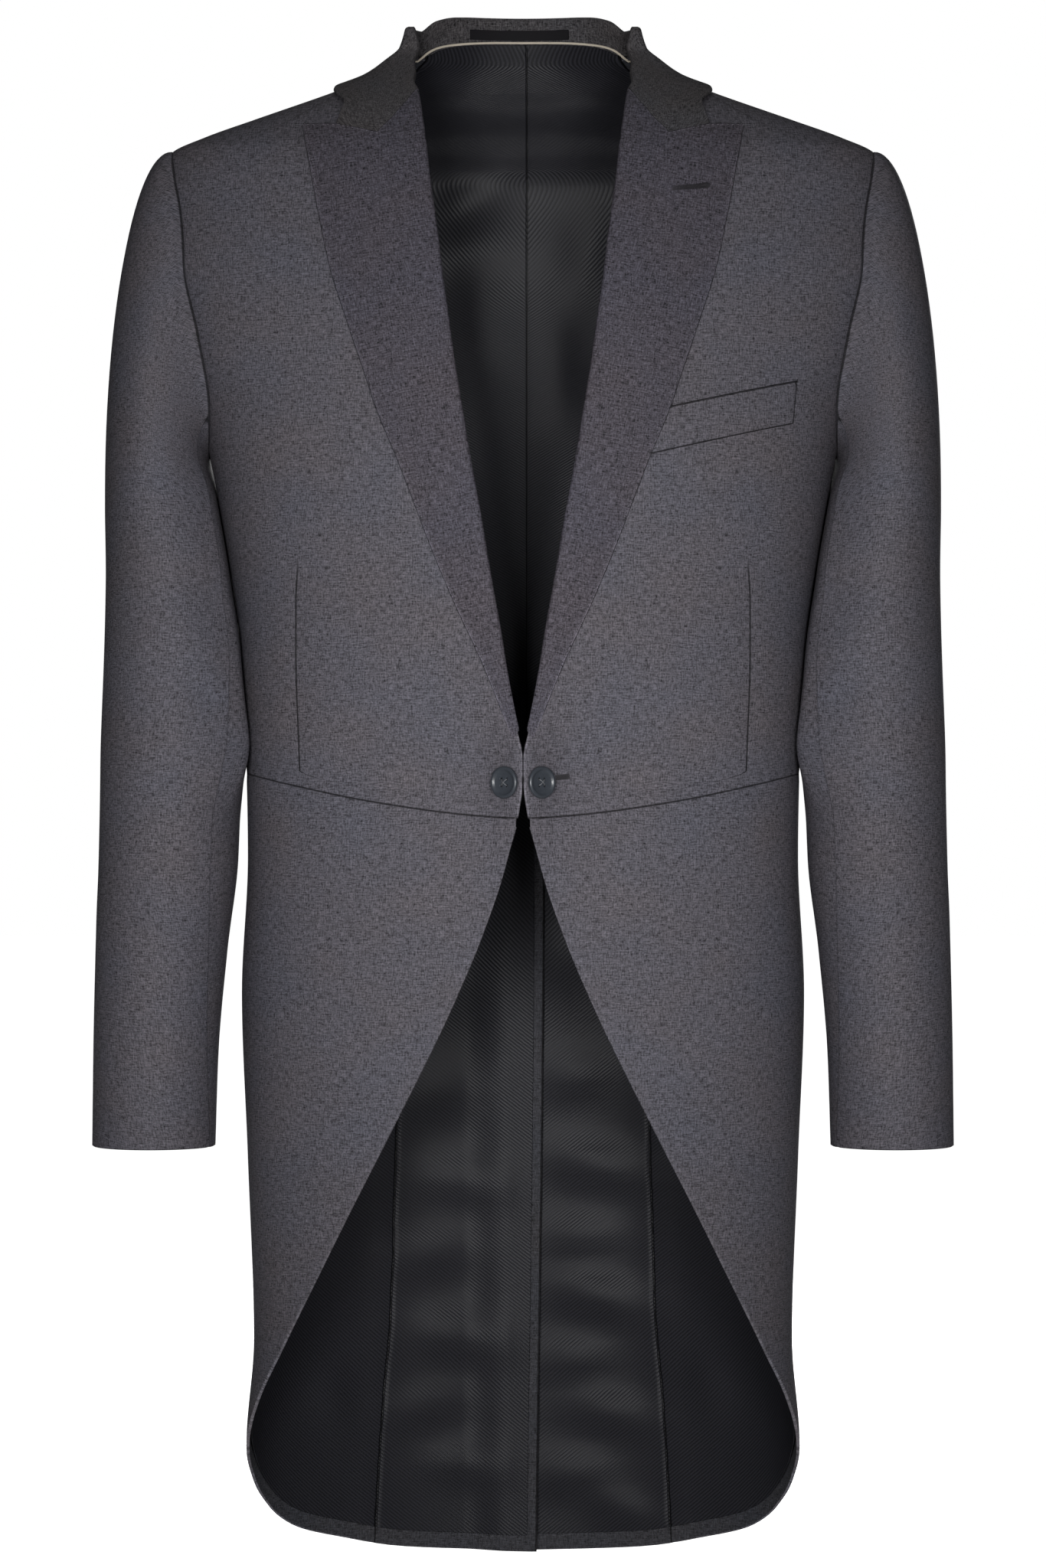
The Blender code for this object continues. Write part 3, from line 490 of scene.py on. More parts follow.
@dataclass
class Surface:
    """A fine grid of points with the outward direction at each, in millimetres.

    `weave` holds, where the threads don't follow the grid, each point's place in the flat
    cloth in metres.
    """

    points: Array
    normals: Array
    weave: Optional[Array] = None

    def lifted(self, height: Array) -> "Surface":
        """The surface moved out along its normals.

        Args:
            height: How far, in millimetres, one number or one for each point.

        Returns:
            A new surface.
        """
        height = np.broadcast_to(height, self.points.shape[:2])
        return Surface(self.points + self.normals * height[..., None], self.normals, self.weave)

    def renewed(self) -> "Surface":
        """The surface with normals worked out again from its points."""
        down = np.gradient(self.points, axis=0)
        across = np.gradient(self.points, axis=1)
        fresh = unit(np.cross(across, -down))
        turned = np.sum(fresh * self.normals, axis=-1, keepdims=True) < 0
        return Surface(self.points, np.where(turned, -fresh, fresh), self.weave)

    def mirrored(self) -> "Surface":
        """The same surface on the other half of the coat."""
        flip = np.array([-1.0, 1.0, 1.0])
        return Surface(self.points * flip, self.normals * flip, self.weave)

    def lengths(self) -> tuple[Array, Array]:
        """Running lengths along the rows and down the columns, in metres, for weave and cut."""
        across = np.linalg.norm(np.diff(self.points, axis=1), axis=-1) * MM
        down = np.linalg.norm(np.diff(self.points, axis=0), axis=-1) * MM
        middle_row, middle_column = self.points.shape[0] // 2, self.points.shape[1] // 2
        u = np.cumsum(np.pad(across, ((0, 0), (1, 0))), axis=1)
        v = np.cumsum(np.pad(down, ((1, 0), (0, 0))), axis=0)
        u = u - u[:, middle_column:middle_column + 1]
        v = v - v[middle_row:middle_row + 1, :]
        return u, v


def on_form(places: Array) -> Surface:
    """The form's surface at a grid of places (g, z)."""
    g, z = places[..., 0], places[..., 1]
    return Surface(FORM.point(g, z), FORM.normal(g, z), np.stack([FORM.girth(g, z), z], axis=-1) * MM)


@dataclass(frozen=True)
class Crease:
    """A soft fold on a piece: a ridge when its height is above 0, a trough when below.

    It runs from (start_x, start_z) to (end_x, end_z) in the piece's own sheet coordinates, in
    millimetres, is `width` wide on either side, and fades out at its ends.
    """

    start_x: float
    start_z: float
    end_x: float
    end_z: float
    width: float
    height: float

    def relief(self, x: Array, z: Array) -> Array:
        """Height of the fold at the given sheet coordinates."""
        run_x, run_z = self.end_x - self.start_x, self.end_z - self.start_z
        length = math.hypot(run_x, run_z)
        along = ((x - self.start_x) * run_x + (z - self.start_z) * run_z) / length ** 2
        off = ((x - self.start_x) * run_z - (z - self.start_z) * run_x) / length
        fade = smooth(np.minimum(along + 0.35, 1.35 - along) / 0.5)
        return self.height * np.exp(-(off / self.width) ** 2) * fade


def edge_gap(surface: Surface, edges: Sequence[str]) -> Array:
    """Distance of every point from the nearest of the named edges.

    Args:
        surface: The piece's surface.
        edges: Names out of top, bottom, inner and outer.

    Returns:
        Distances in millimetres.
    """
    u, v = surface.lengths()
    gaps = {"inner": u - u[:, :1], "outer": u[:, -1:] - u, "top": v - v[:1], "bottom": v[-1:] - v}
    return np.min([gaps[edge] for edge in edges], axis=0) / MM


def edge_roll(surface: Surface, depth: float, width: float, edges: Sequence[str]) -> Array:
    """Heights, all 0 or less, by which a piece turns down towards its named edges.

    Args:
        surface: The piece's surface.
        depth: How far the edge turns in, in millimetres.
        width: How far from the edge the turn begins.
        edges: Names out of top, bottom, inner and outer.

    Returns:
        Heights in millimetres.
    """
    return -depth * (1 - smooth(edge_gap(surface, edges) / width))


RIM_SWELL = 0.35


@dataclass
class Cloth:
    """A piece of cloth with a face, a back and edges, made from one surface."""

    name: str
    surface: Surface
    thickness: float
    face: bpy.types.Material
    back: bpy.types.Material
    edge: bpy.types.Material
    side: Side = Side.LEFT
    marks: dict = field(default_factory=dict)

    def build(self) -> bpy.types.Object:
        """Make the piece's mesh: a closed shell with rounded edges and a UV map in metres.

        Returns:
            The new object, its place in its mesh.
        """
        surface = self.surface if self.side is Side.LEFT else self.surface.mirrored()
        points, normals = surface.points, surface.normals
        rows, columns = points.shape[:2]
        outer = points
        inner = points - normals * self.thickness
        rim, order = self.rim(outer, inner)
        count = rows * columns
        verts = np.concatenate([outer.reshape(-1, 3), inner.reshape(-1, 3), rim]) * MM
        index = np.arange(count).reshape(rows, columns)
        corners = [index[:-1, :-1], index[1:, :-1], index[1:, 1:], index[:-1, 1:]]
        quads = np.stack(corners, axis=-1).reshape(-1, 4)
        ring = np.arange(len(order)) + 2 * count
        around = np.roll(ring, -1)
        order_next = np.roll(order, -1)
        skirt_out = np.stack([order, order_next, around, ring], axis=-1)
        skirt_in = np.stack([ring, around, order_next + count, order + count], axis=-1)
        faces = np.concatenate([quads, quads[:, ::-1] + count, skirt_out, skirt_in])
        if self.side is Side.RIGHT:
            faces = faces[:, ::-1]
        mesh = bpy.data.meshes.new(self.name)
        mesh.from_pydata(verts.tolist(), [], faces.tolist())
        mesh.materials.append(self.face)
        mesh.materials.append(self.back)
        mesh.materials.append(self.edge)
        slots = np.zeros(len(faces), dtype=np.int32)
        slots[len(quads):2 * len(quads)] = 1
        slots[2 * len(quads):] = 2
        mesh.polygons.foreach_set("material_index", slots)
        self.lay_out(mesh, surface, order)
        self.mark(mesh, order)
        mesh.shade_smooth()
        self.sharpen(mesh, slots)
        if self.signed_volume(mesh) < 0:
            mesh.flip_normals()
        made = bpy.data.objects.new(self.name, mesh)
        bpy.context.scene.collection.objects.link(made)
        return made

    def rim(self, outer: Array, inner: Array) -> tuple[Array, Array]:
        """Points of the rounded edge, and the order in which the edge is walked.

        Args:
            outer: The face's points.
            inner: The back's points.

        Returns:
            The edge's points and the matching indexes of the face's grid.
        """
        rows, columns = outer.shape[:2]
        index = np.arange(rows * columns).reshape(rows, columns)
        order = np.concatenate([index[:, 0], index[-1, 1:], index[-2::-1, -1], index[0, -2:0:-1]])
        middle = ((outer + inner) / 2).reshape(-1, 3)
        away = np.zeros((rows, columns, 3))
        away[:, 0] += unit(outer[:, 0] - outer[:, 1])
        away[:, -1] += unit(outer[:, -1] - outer[:, -2])
        away[0] += unit(outer[0] - outer[1])
        away[-1] += unit(outer[-1] - outer[-2])
        push = unit(away.reshape(-1, 3)[order]) * self.thickness * RIM_SWELL
        return middle[order] + push, order

    def lay_out(self, mesh: bpy.types.Mesh, surface: Surface, order: Array) -> None:
        """Write the UV map in metres, so that a weave keeps its real size."""
        weave = surface.weave if surface.weave is not None else np.stack(surface.lengths(), axis=-1)
        flat = weave.reshape(-1, 2)
        flat = np.concatenate([flat, flat, flat[order]])
        loops = np.empty(len(mesh.loops), dtype=np.int32)
        mesh.loops.foreach_get("vertex_index", loops)
        layer = mesh.uv_layers.new(name="cloth")
        layer.uv.foreach_set("vector", flat[loops].astype(np.float32).ravel())

    @staticmethod
    def sharpen(mesh: bpy.types.Mesh, slots: Array) -> None:
        """Keep the shading of the face, the back and the edge apart, for crisp borders."""
        edges = np.empty(len(mesh.loops), dtype=np.int32)
        mesh.loops.foreach_get("edge_index", edges)
        part = np.repeat(slots, 4)
        lowest = np.full(len(mesh.edges), part.max())
        highest = np.zeros(len(mesh.edges), part.dtype)
        np.minimum.at(lowest, edges, part)
        np.maximum.at(highest, edges, part)
        layer = mesh.attributes.new(name="sharp_edge", type="BOOLEAN", domain="EDGE")
        layer.data.foreach_set("value", lowest != highest)

    def mark(self, mesh: bpy.types.Mesh, order: Array) -> None:
        """Write each mark, such as the distance to a dart, as a value at every point."""
        for name, values in self.marks.items():
            flat = np.asarray(values, np.float32).ravel()
            flat = np.concatenate([flat, flat, flat[order]])
            layer = mesh.attributes.new(name=name, type="FLOAT", domain="POINT")
            layer.data.foreach_set("value", flat)

    @staticmethod
    def signed_volume(mesh: bpy.types.Mesh) -> float:
        """Six times the volume the mesh encloses, negative when it is inside out."""
        mesh.calc_loop_triangles()
        corners = np.empty(len(mesh.loop_triangles) * 3, dtype=np.int32)
        mesh.loop_triangles.foreach_get("vertices", corners)
        places = np.empty(len(mesh.vertices) * 3, dtype=np.float32)
        mesh.vertices.foreach_get("co", places)
        corner = places.reshape(-1, 3)[corners].reshape(-1, 3, 3).astype(float)
        return float(np.sum(corner[:, 0] * np.cross(corner[:, 1], corner[:, 2])))

    def flat_size(self) -> tuple[float, float, float]:
        """Width, length and area of the piece as it is cut, in metres."""
        points = self.surface.points
        across = np.linalg.norm(np.diff(points, axis=1), axis=-1).sum(axis=1).max() * MM
        down = np.linalg.norm(np.diff(points, axis=0), axis=-1).sum(axis=0).max() * MM
        weave = self.surface.weave
        if weave is not None:
            wide, long = np.abs(weave[..., 0] - weave[:, :1, 0]).max(), np.ptp(weave[..., 1])
            if wide * long < across * down:
                across, down = wide, long
        edge_a, edge_b = points[1:, :-1] - points[:-1, :-1], points[:-1, 1:] - points[:-1, :-1]
        area = float(np.linalg.norm(np.cross(edge_a, edge_b), axis=-1).sum()) * MM * MM
        return float(across), float(down), min(area, MOST_SHARE * across * down)


SMALLEST_CUT = 0.0102
LEAST_SHARE = 0.301
MOST_SHARE = 0.999


def enlist(piece: bpy.types.Object, node: Optional[str] = None) -> None:
    """Attach a piece to the frame's root, hide the node it stands for, and log its triangles.

    Args:
        piece: The finished piece.
        node: The node it replaces, if any.
    """
    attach(piece, "root")
    if node:
        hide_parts(node)
    triangles = sum(len(face.vertices) - 2 for face in piece.data.polygons)
    log.info("%s: %d triangles", piece.name, triangles)


def enlist_cloth(cloth: Cloth, node: Optional[str]) -> bpy.types.Object:
    """Args:
        cloth: The piece to build.
        node: The node it replaces, if any.

    Returns:
        The finished piece.
    """
    piece = cloth.build()
    enlist(piece, node)
    width, length, area = cloth.flat_size()
    length = max(length, SMALLEST_CUT)
    area = max(area, LEAST_SHARE * width * length)
    return piece


@dataclass(frozen=True)
class Worsted:
    """A woven suiting: its colour, how strongly its threads show, and how matt it is."""

    name: str
    colour: tuple[int, int, int]
    thread: float = 1.05
    slub: float = 0.34
    tint: float = 0.05
    roughness: float = 0.8
    specular: float = 0.22

    def toned(self, warmth: float) -> tuple[float, float, float]:
        """The colour a little warmer (1) or cooler (-1)."""
        red, green, blue = self.colour
        share = warmth * self.tint
        return red * (1 + share), green, blue * (1 - share)


@dataclass(frozen=True)
class Twill:
    """A satin lining with a fine diagonal rib."""

    name: str
    colour: tuple[int, int, int]
    pitch: float = 2.0
    roughness: float = 0.4
    specular: float = 0.09
    rib: float = 0.8


@dataclass(frozen=True)
class Plain:
    """A finish with no pattern but a little unevenness."""

    name: str
    colour: tuple[int, int, int]
    roughness: float
    specular: float = 0.4
    grain: float = 0.08


class Finish(Enum):
    """Every finish on the coat."""

    SUITING = Worsted("grey_worsted", (77, 75, 81))
    LAPEL = Worsted("lapel_worsted", (66, 63, 70), thread=1.2)
    COLLAR = Worsted("collar_worsted", (64, 62, 64), thread=1.3, slub=0.12)
    # a lighter copy of the suiting for the rims: painted highlight on the edges
    PRESSED = Worsted("pressed_edge", (88, 86, 92))
    # a darker copy of the suiting for the inside faces of the skirts and backs: painted shade inside the coat
    EDGING = Worsted("vent_worsted", (50, 50, 54))
    LINING = Twill("lining_twill", (34, 34, 38))
    LABEL = Plain("label_satin", (20, 19, 22), 0.75, specular=0.15)
    PIPING = Plain("neck_piping", (196, 186, 170), 0.6)
    BUTTON = Plain("button_horn", (50, 54, 60), 0.33, specular=0.5, grain=0.3)
    THREAD = Plain("button_thread", (84, 86, 90), 0.7)
    STITCH = Plain("stitch_thread", (104, 101, 107), 0.75)
    # dark thread for the worked stitches, also used for the painted shadow of the slit
    HOLE = Plain("buttonhole_thread", (34, 32, 36), 0.7)
    FLOOR = Plain("studio_floor", (250, 250, 250), 0.9, grain=0.0)


def linear(colour: Sequence[int]) -> tuple[float, float, float, float]:
    """An sRGB colour of 0 to 255 as the linear colour that shaders take."""
    channels = [channel / 255 for channel in colour]
    mixed = [c / 12.92 if c <= 0.04045 else ((c + 0.055) / 1.055) ** 2.4 for c in channels]
    return mixed[0], mixed[1], mixed[2], 1.0


class Graph:
    """A small helper that adds and joins the shader nodes of one material."""

    def __init__(self, name: str, roughness: float, specular: float) -> None:
        """Start a material with one Principled shader.

        Args:
            name: Name of the material.
            roughness: Its roughness.
            specular: Its specular level.
        """
        self.material = bpy.data.materials.new(name)
        self.material.use_nodes = True
        self.nodes = self.material.node_tree.nodes
        self.links = self.material.node_tree.links
        self.shader = self.nodes["Principled BSDF"]
        self.shader.inputs["Roughness"].default_value = roughness
        self.shader.inputs["Specular IOR Level"].default_value = specular

    def add(self, kind: str, settings: Optional[dict] = None, **inputs: object) -> bpy.types.Node:
        """Add a node, set its own settings, then fill its inputs.

        Args:
            kind: The node's type.
            settings: Properties of the node itself.
            inputs: Values or sockets by input name, with _ for a blank, or i0, i1 by number.

        Returns:
            The new node.
        """
        node = self.nodes.new(kind)
        for key, value in (settings or {}).items():
            setattr(node, key, value)
        for key, value in inputs.items():
            numbered = key[0] == "i" and key[1:].isdigit()
            socket = node.inputs[int(key[1:])] if numbered else node.inputs[key.replace("_", " ")]
            if isinstance(value, bpy.types.NodeSocket):
                self.links.new(value, socket)
            else:
                socket.default_value = value
        return node

    def math(self, operation: str, first: object, second: object = 0.0) -> bpy.types.NodeSocket:
        """One step of arithmetic on two values or sockets."""
        return self.add("ShaderNodeMath", {"operation": operation}, i0=first, i1=second).outputs[0]

    def stretched(self, source: bpy.types.NodeSocket, scale: Sequence[float],
                  turn: float = 0.0) -> bpy.types.NodeSocket:
        """Texture coordinates scaled on each axis and turned about the third."""
        node = self.add("ShaderNodeMapping", Vector=source, Scale=tuple(scale), Rotation=(0.0, 0.0, turn))
        return node.outputs[0]

    def noise(self, source: bpy.types.NodeSocket, detail: float = 2.0) -> bpy.types.NodeSocket:
        """Soft noise between 0 and 1, at the size the coordinates have."""
        return self.add("ShaderNodeTexNoise", Vector=source, Scale=1.0, Detail=detail).outputs[0]

    def line(self, name: str, near: float, far: float) -> bpy.types.NodeSocket:
        """1 on a marked line, easing from `near` to 0 at `far` millimetres from it."""
        offset = self.add("ShaderNodeAttribute", {"attribute_name": name}).outputs["Fac"]
        shown = self.add("ShaderNodeAttribute", {"attribute_name": name + "_shown"}).outputs["Fac"]
        distance = self.math("ABSOLUTE", offset)
        settings = {"interpolation_type": "SMOOTHSTEP"}
        node = self.add("ShaderNodeMapRange", settings, Value=distance, From_Min=near, From_Max=far,
                        To_Min=1.0, To_Max=0.0)
        return self.math("MULTIPLY", node.outputs[0], shown)

    def tinted(self, colour: object, factor: bpy.types.NodeSocket) -> None:
        """Set the base colour to a colour, given as 0 to 255 or as a socket, times a factor."""
        if not isinstance(colour, bpy.types.NodeSocket):
            colour = linear(colour)[:3]
        node = self.add("ShaderNodeVectorMath", {"operation": "SCALE"}, i0=colour)
        self.links.new(factor, node.inputs["Scale"])
        self.links.new(node.outputs[0], self.shader.inputs["Base Color"])

    def bumped(self, height: bpy.types.NodeSocket, distance: float, strength: float = 1.0) -> None:
        """Raise the surface by a height times a distance in metres."""
        node = self.add("ShaderNodeBump", Height=height, Distance=distance, Strength=strength)
        self.links.new(node.outputs[0], self.shader.inputs["Normal"])


@dataclass(frozen=True)
class NoisePattern:
    """One noise in the suiting: how fine it is across and along the cloth, a metre, and its detail."""

    across: float
    along: float
    detail: float


WORSTED_PATTERNS = (
    NoisePattern(1250.0, 220.0, 2.0),
    NoisePattern(180.0, 1150.0, 2.0),
    NoisePattern(800.0, 900.0, 4.0),
    NoisePattern(28.0, 620.0, 3.0),
    NoisePattern(420.0, 30.0, 2.0),
    NoisePattern(11.0, 26.0, 2.0),
    NoisePattern(14.0, 17.0, 3.0),
)


def worsted(finish: Worsted) -> bpy.types.Material:
    """Fine two-tone suiting with uneven threads, soft slubs, dark seams with painted shadow in the welt's
    opening, and a painted highlight along pressed edges.
    """
    graph = Graph(finish.name, finish.roughness, finish.specular)
    cloth = graph.add("ShaderNodeUVMap", {"uv_map": "cloth"}).outputs[0]
    warp, weft, grain, slub, rib, cloud, blend = [
        graph.noise(graph.stretched(cloth, (pattern.across, pattern.along, 1.0)), pattern.detail)
        for pattern in WORSTED_PATTERNS]
    seam = graph.line("seam", 0.2, 0.75)
    # painted highlight: the cloth is lightened along marked pressed edges
    fold = graph.line("pressed", 0.3, 0.9)
    threads = graph.math("SUBTRACT", graph.math("ADD", graph.math("ADD", warp, weft), grain), 1.5)
    slubs = graph.math("SUBTRACT", graph.math("ADD", slub, graph.math("MULTIPLY", rib, 0.6)), 0.8)
    shade = graph.math("ADD", graph.math("MULTIPLY", threads, finish.thread * 2.0),
                       graph.math("MULTIPLY", slubs, finish.slub))
    shade = graph.math("ADD", shade, graph.math("ADD", graph.math("MULTIPLY", cloud, 0.12), 0.94))
    shade = graph.math("MULTIPLY", shade, graph.math("SUBTRACT", 1.0, graph.math("MULTIPLY", seam, 0.8)))
    # lighten the cloth along the marked edges: a painted highlight
    shade = graph.math("MULTIPLY", shade, graph.math("ADD", 1.0, graph.math("MULTIPLY", fold, 0.7)))
    colour = graph.add("ShaderNodeMix", {"data_type": "RGBA"}, i0=blend, i6=linear(finish.toned(1.0)),
                       i7=linear(finish.toned(-1.0))).outputs[2]
    graph.tinted(colour, shade)
    graph.bumped(graph.math("SUBTRACT", graph.math("MULTIPLY", threads, 0.22), seam), 0.0003)
    return graph.material


def twill(finish: Twill) -> bpy.types.Material:
    """Satin lining with a diagonal rib, soft sheen and dark seams."""
    graph = Graph(finish.name, finish.roughness, finish.specular)
    cloth = graph.add("ShaderNodeUVMap", {"uv_map": "cloth"}).outputs[0]
    turned = graph.stretched(cloth, (1000.0, 1000.0, 1000.0), math.radians(38))
    settings = {"wave_type": "BANDS", "bands_direction": "Y"}
    rib = graph.add("ShaderNodeTexWave", settings, Vector=turned, Scale=0.314 / finish.pitch, Distortion=0.6,
                    Detail=1.0).outputs["Fac"]
    fibre = graph.noise(graph.stretched(cloth, (900.0, 500.0, 1.0)))
    cloud = graph.noise(graph.stretched(cloth, (22.0, 9.0, 1.0)))
    seam = graph.line("seam", 0.5, 1.3)
    shade = graph.math("ADD", graph.math("MULTIPLY", rib, finish.rib), graph.math("MULTIPLY", fibre, 0.5))
    shade = graph.math("ADD", shade, graph.math("ADD", graph.math("MULTIPLY", cloud, 0.3), 0.2))
    shade = graph.math("MULTIPLY", shade, graph.math("SUBTRACT", 1.0, graph.math("MULTIPLY", seam, 0.75)))
    graph.tinted(finish.colour, shade)
    height = graph.math("SUBTRACT", graph.math("MULTIPLY", rib, 0.25), seam)
    graph.bumped(height, 0.0004)
    return graph.material


def plain(finish: Plain) -> bpy.types.Material:
    """A finish with only a faint unevenness, or one even colour when its grain is 0."""
    graph = Graph(finish.name, finish.roughness, finish.specular)
    if not finish.grain:
        graph.shader.inputs["Base Color"].default_value = linear(finish.colour)
        return graph.material
    place = graph.add("ShaderNodeTexCoord").outputs["Object"]
    grain = graph.noise(graph.stretched(place, (600.0, 600.0, 600.0)), 3.0)
    graph.tinted(finish.colour, graph.math("ADD", graph.math("MULTIPLY", grain, 2 * finish.grain),
                                           1.0 - finish.grain))
    return graph.material


MAKERS = {Worsted: worsted, Twill: twill, Plain: plain}
MADE: dict[Finish, bpy.types.Material] = {}


def material_of(finish: Finish) -> bpy.types.Material:
    """The one material of a finish, made the first time it is asked for."""
    if finish not in MADE:
        MADE[finish] = MAKERS[type(finish.value)](finish.value)
    return MADE[finish]


SUITING_DEPTH = 2.0
LINING_INSIDE = 3.0
DART_TOP = -346.0
DART_FADE = 6.0
SEAM_ROLL = 0.3
SEAM_WIDTH = 1.4
SHOULDER_SEAM_SHADE = 0.3
FRONT_PICK_TOP = -456.0
SKIRT_HIGHLIGHT = 0.4
FRONT_DART: Table = ((-346, 146.6), (-374, 148.4), (-413, 148.6), (-458, 147.2), (-515, 145))


def back_shade(back: Surface) -> Array:
    """How dark a back's seams look: faint on the shoulder, full below it."""
    return np.where(back.points[..., 2] > FORM.armhole_top, SHOULDER_SEAM_SHADE, 1.0)


def marks(name: str, offset: Array, shown: Array = 1.0) -> dict:
    """The values by which a material draws a line, such as a dark seam or a painted highlight along a pressed
    edge.

    Args:
        name: Which line: the seam, or the painted highlight along an edge.
        offset: Signed distance from the line, in millimetres.
        shown: 1 where it is drawn and 0 beyond its ends.

    Returns:
        Marks for a Cloth.
    """
    return {name: offset, name + "_shown": np.broadcast_to(shown, offset.shape)}


def line_offset(surface: Surface, line: Table) -> Array:
    """Signed distance of every point from a line drawn down the front, in millimetres."""
    return np.abs(surface.points[..., 0]) - SmoothCurve(line)(surface.points[..., 2])


def panel(places: Array, rows: int, columns: int) -> Surface:
    """A panel's fine surface from its coarse places."""
    return on_form(refine(places, rows, columns))


def lapped(surface: Surface, depth: Callable[[Array], Array]) -> Surface:
    """The back that goes under: drawn in near the vent, by a depth that depends on the height."""
    x, z = surface.points[..., 0], surface.points[..., 2]
    share = smooth((CUT.lap_start - x) / (CUT.lap_start - CUT.lap_end))
    return surface.lifted(-depth(z) * share)


def build_shell() -> dict[str, Surface]:
    """Foreparts, side bodies, skirts and backs with their tails.

    Returns:
        The surfaces that the stitching follows, by name.
    """
    suiting = material_of(Finish.SUITING)
    lining = material_of(Finish.LINING)
    # darker inside finish: painted shade
    shaded_inside = material_of(Finish.EDGING)
    # lighter rim finish: a painted highlight on the edges
    pressed = material_of(Finish.PRESSED)
    forepart = panel(PATTERN.forepart(), 5, 8)
    dart = line_offset(forepart, FRONT_DART)
    shown = smooth((DART_TOP - forepart.points[..., 2]) / DART_FADE) * (forepart.points[..., 1] < 0)
    gap = edge_gap(forepart, ("bottom", "outer"))
    puff = edge_roll(forepart, SEAM_ROLL, SEAM_WIDTH, ("bottom", "outer"))
    puffed = forepart.lifted(puff - 0.5 * shown * np.exp(-(dart / 5.0) ** 2))
    near_edge = gap < 8.0
    height = forepart.points[..., 2]
    edge_shade = np.where(height > FORM.armhole_top, SHOULDER_SEAM_SHADE, 1.0)
    front_marks = marks("seam", np.where(near_edge, gap, dart), np.where(near_edge, edge_shade, shown))
    # painted highlight along the front edge, below the top of its pick stitching
    front_marks.update(marks("pressed", edge_gap(forepart, ("inner",)), height < FRONT_PICK_TOP))
    side_body = panel(PATTERN.side_body(), 5, 5)
    skirt = panel(PATTERN.skirt(), 8, 1)
    skirt = skirt.lifted(edge_roll(skirt, SEAM_ROLL, SEAM_WIDTH, ("top", "outer")))
    skirt_marks = marks("seam", edge_gap(skirt, ("top", "outer")))
    # painted highlight along the skirt's hem and front edge, at reduced strength
    skirt_marks.update(marks("pressed", edge_gap(skirt, ("bottom", "inner")), SKIRT_HIGHLIGHT))
    left_back = panel(PATTERN.back(SmoothCurve(CUT.left_tail_edge)), 4, 6)
    right_back = lapped(panel(PATTERN.back(SmoothCurve(CUT.right_tail_edge)), 4, 6), PATTERN.vent_depth)
    side_seams = ("bottom", "inner", "outer")
    for side in Side:
        back = left_back if side is Side.LEFT else right_back
        pieces = (
            ("forepart", puffed, lining, front_marks),
            ("side_body", side_body.lifted(edge_roll(side_body, SEAM_ROLL, SEAM_WIDTH, side_seams)), lining,
             marks("seam", edge_gap(side_body, side_seams))),
            ("skirt", skirt, shaded_inside, skirt_marks),
            ("back", back.lifted(edge_roll(back, SEAM_ROLL, SEAM_WIDTH, ("inner", "outer"))), shaded_inside,
             marks("seam", edge_gap(back, ("inner", "outer")), back_shade(back))),
        )
        for name, surface, inside, lines in pieces:
            # the rims take the lighter edge finish, a painted highlight
            cloth = Cloth("%s_cloth_%s" % (name, side.word), surface, SUITING_DEPTH, suiting, inside, pressed,
                          side, lines)
            enlist_cloth(cloth, "%s_%s" % (name, side.word))
    return {"forepart": puffed, "skirt": skirt}


@dataclass(frozen=True)
class Ring:
    """One level cut through the sleeve: its middle, half sizes and turn in degrees."""

    z: float
    middle_x: float
    middle_y: float
    half_x: float
    half_y: float
    turn: float


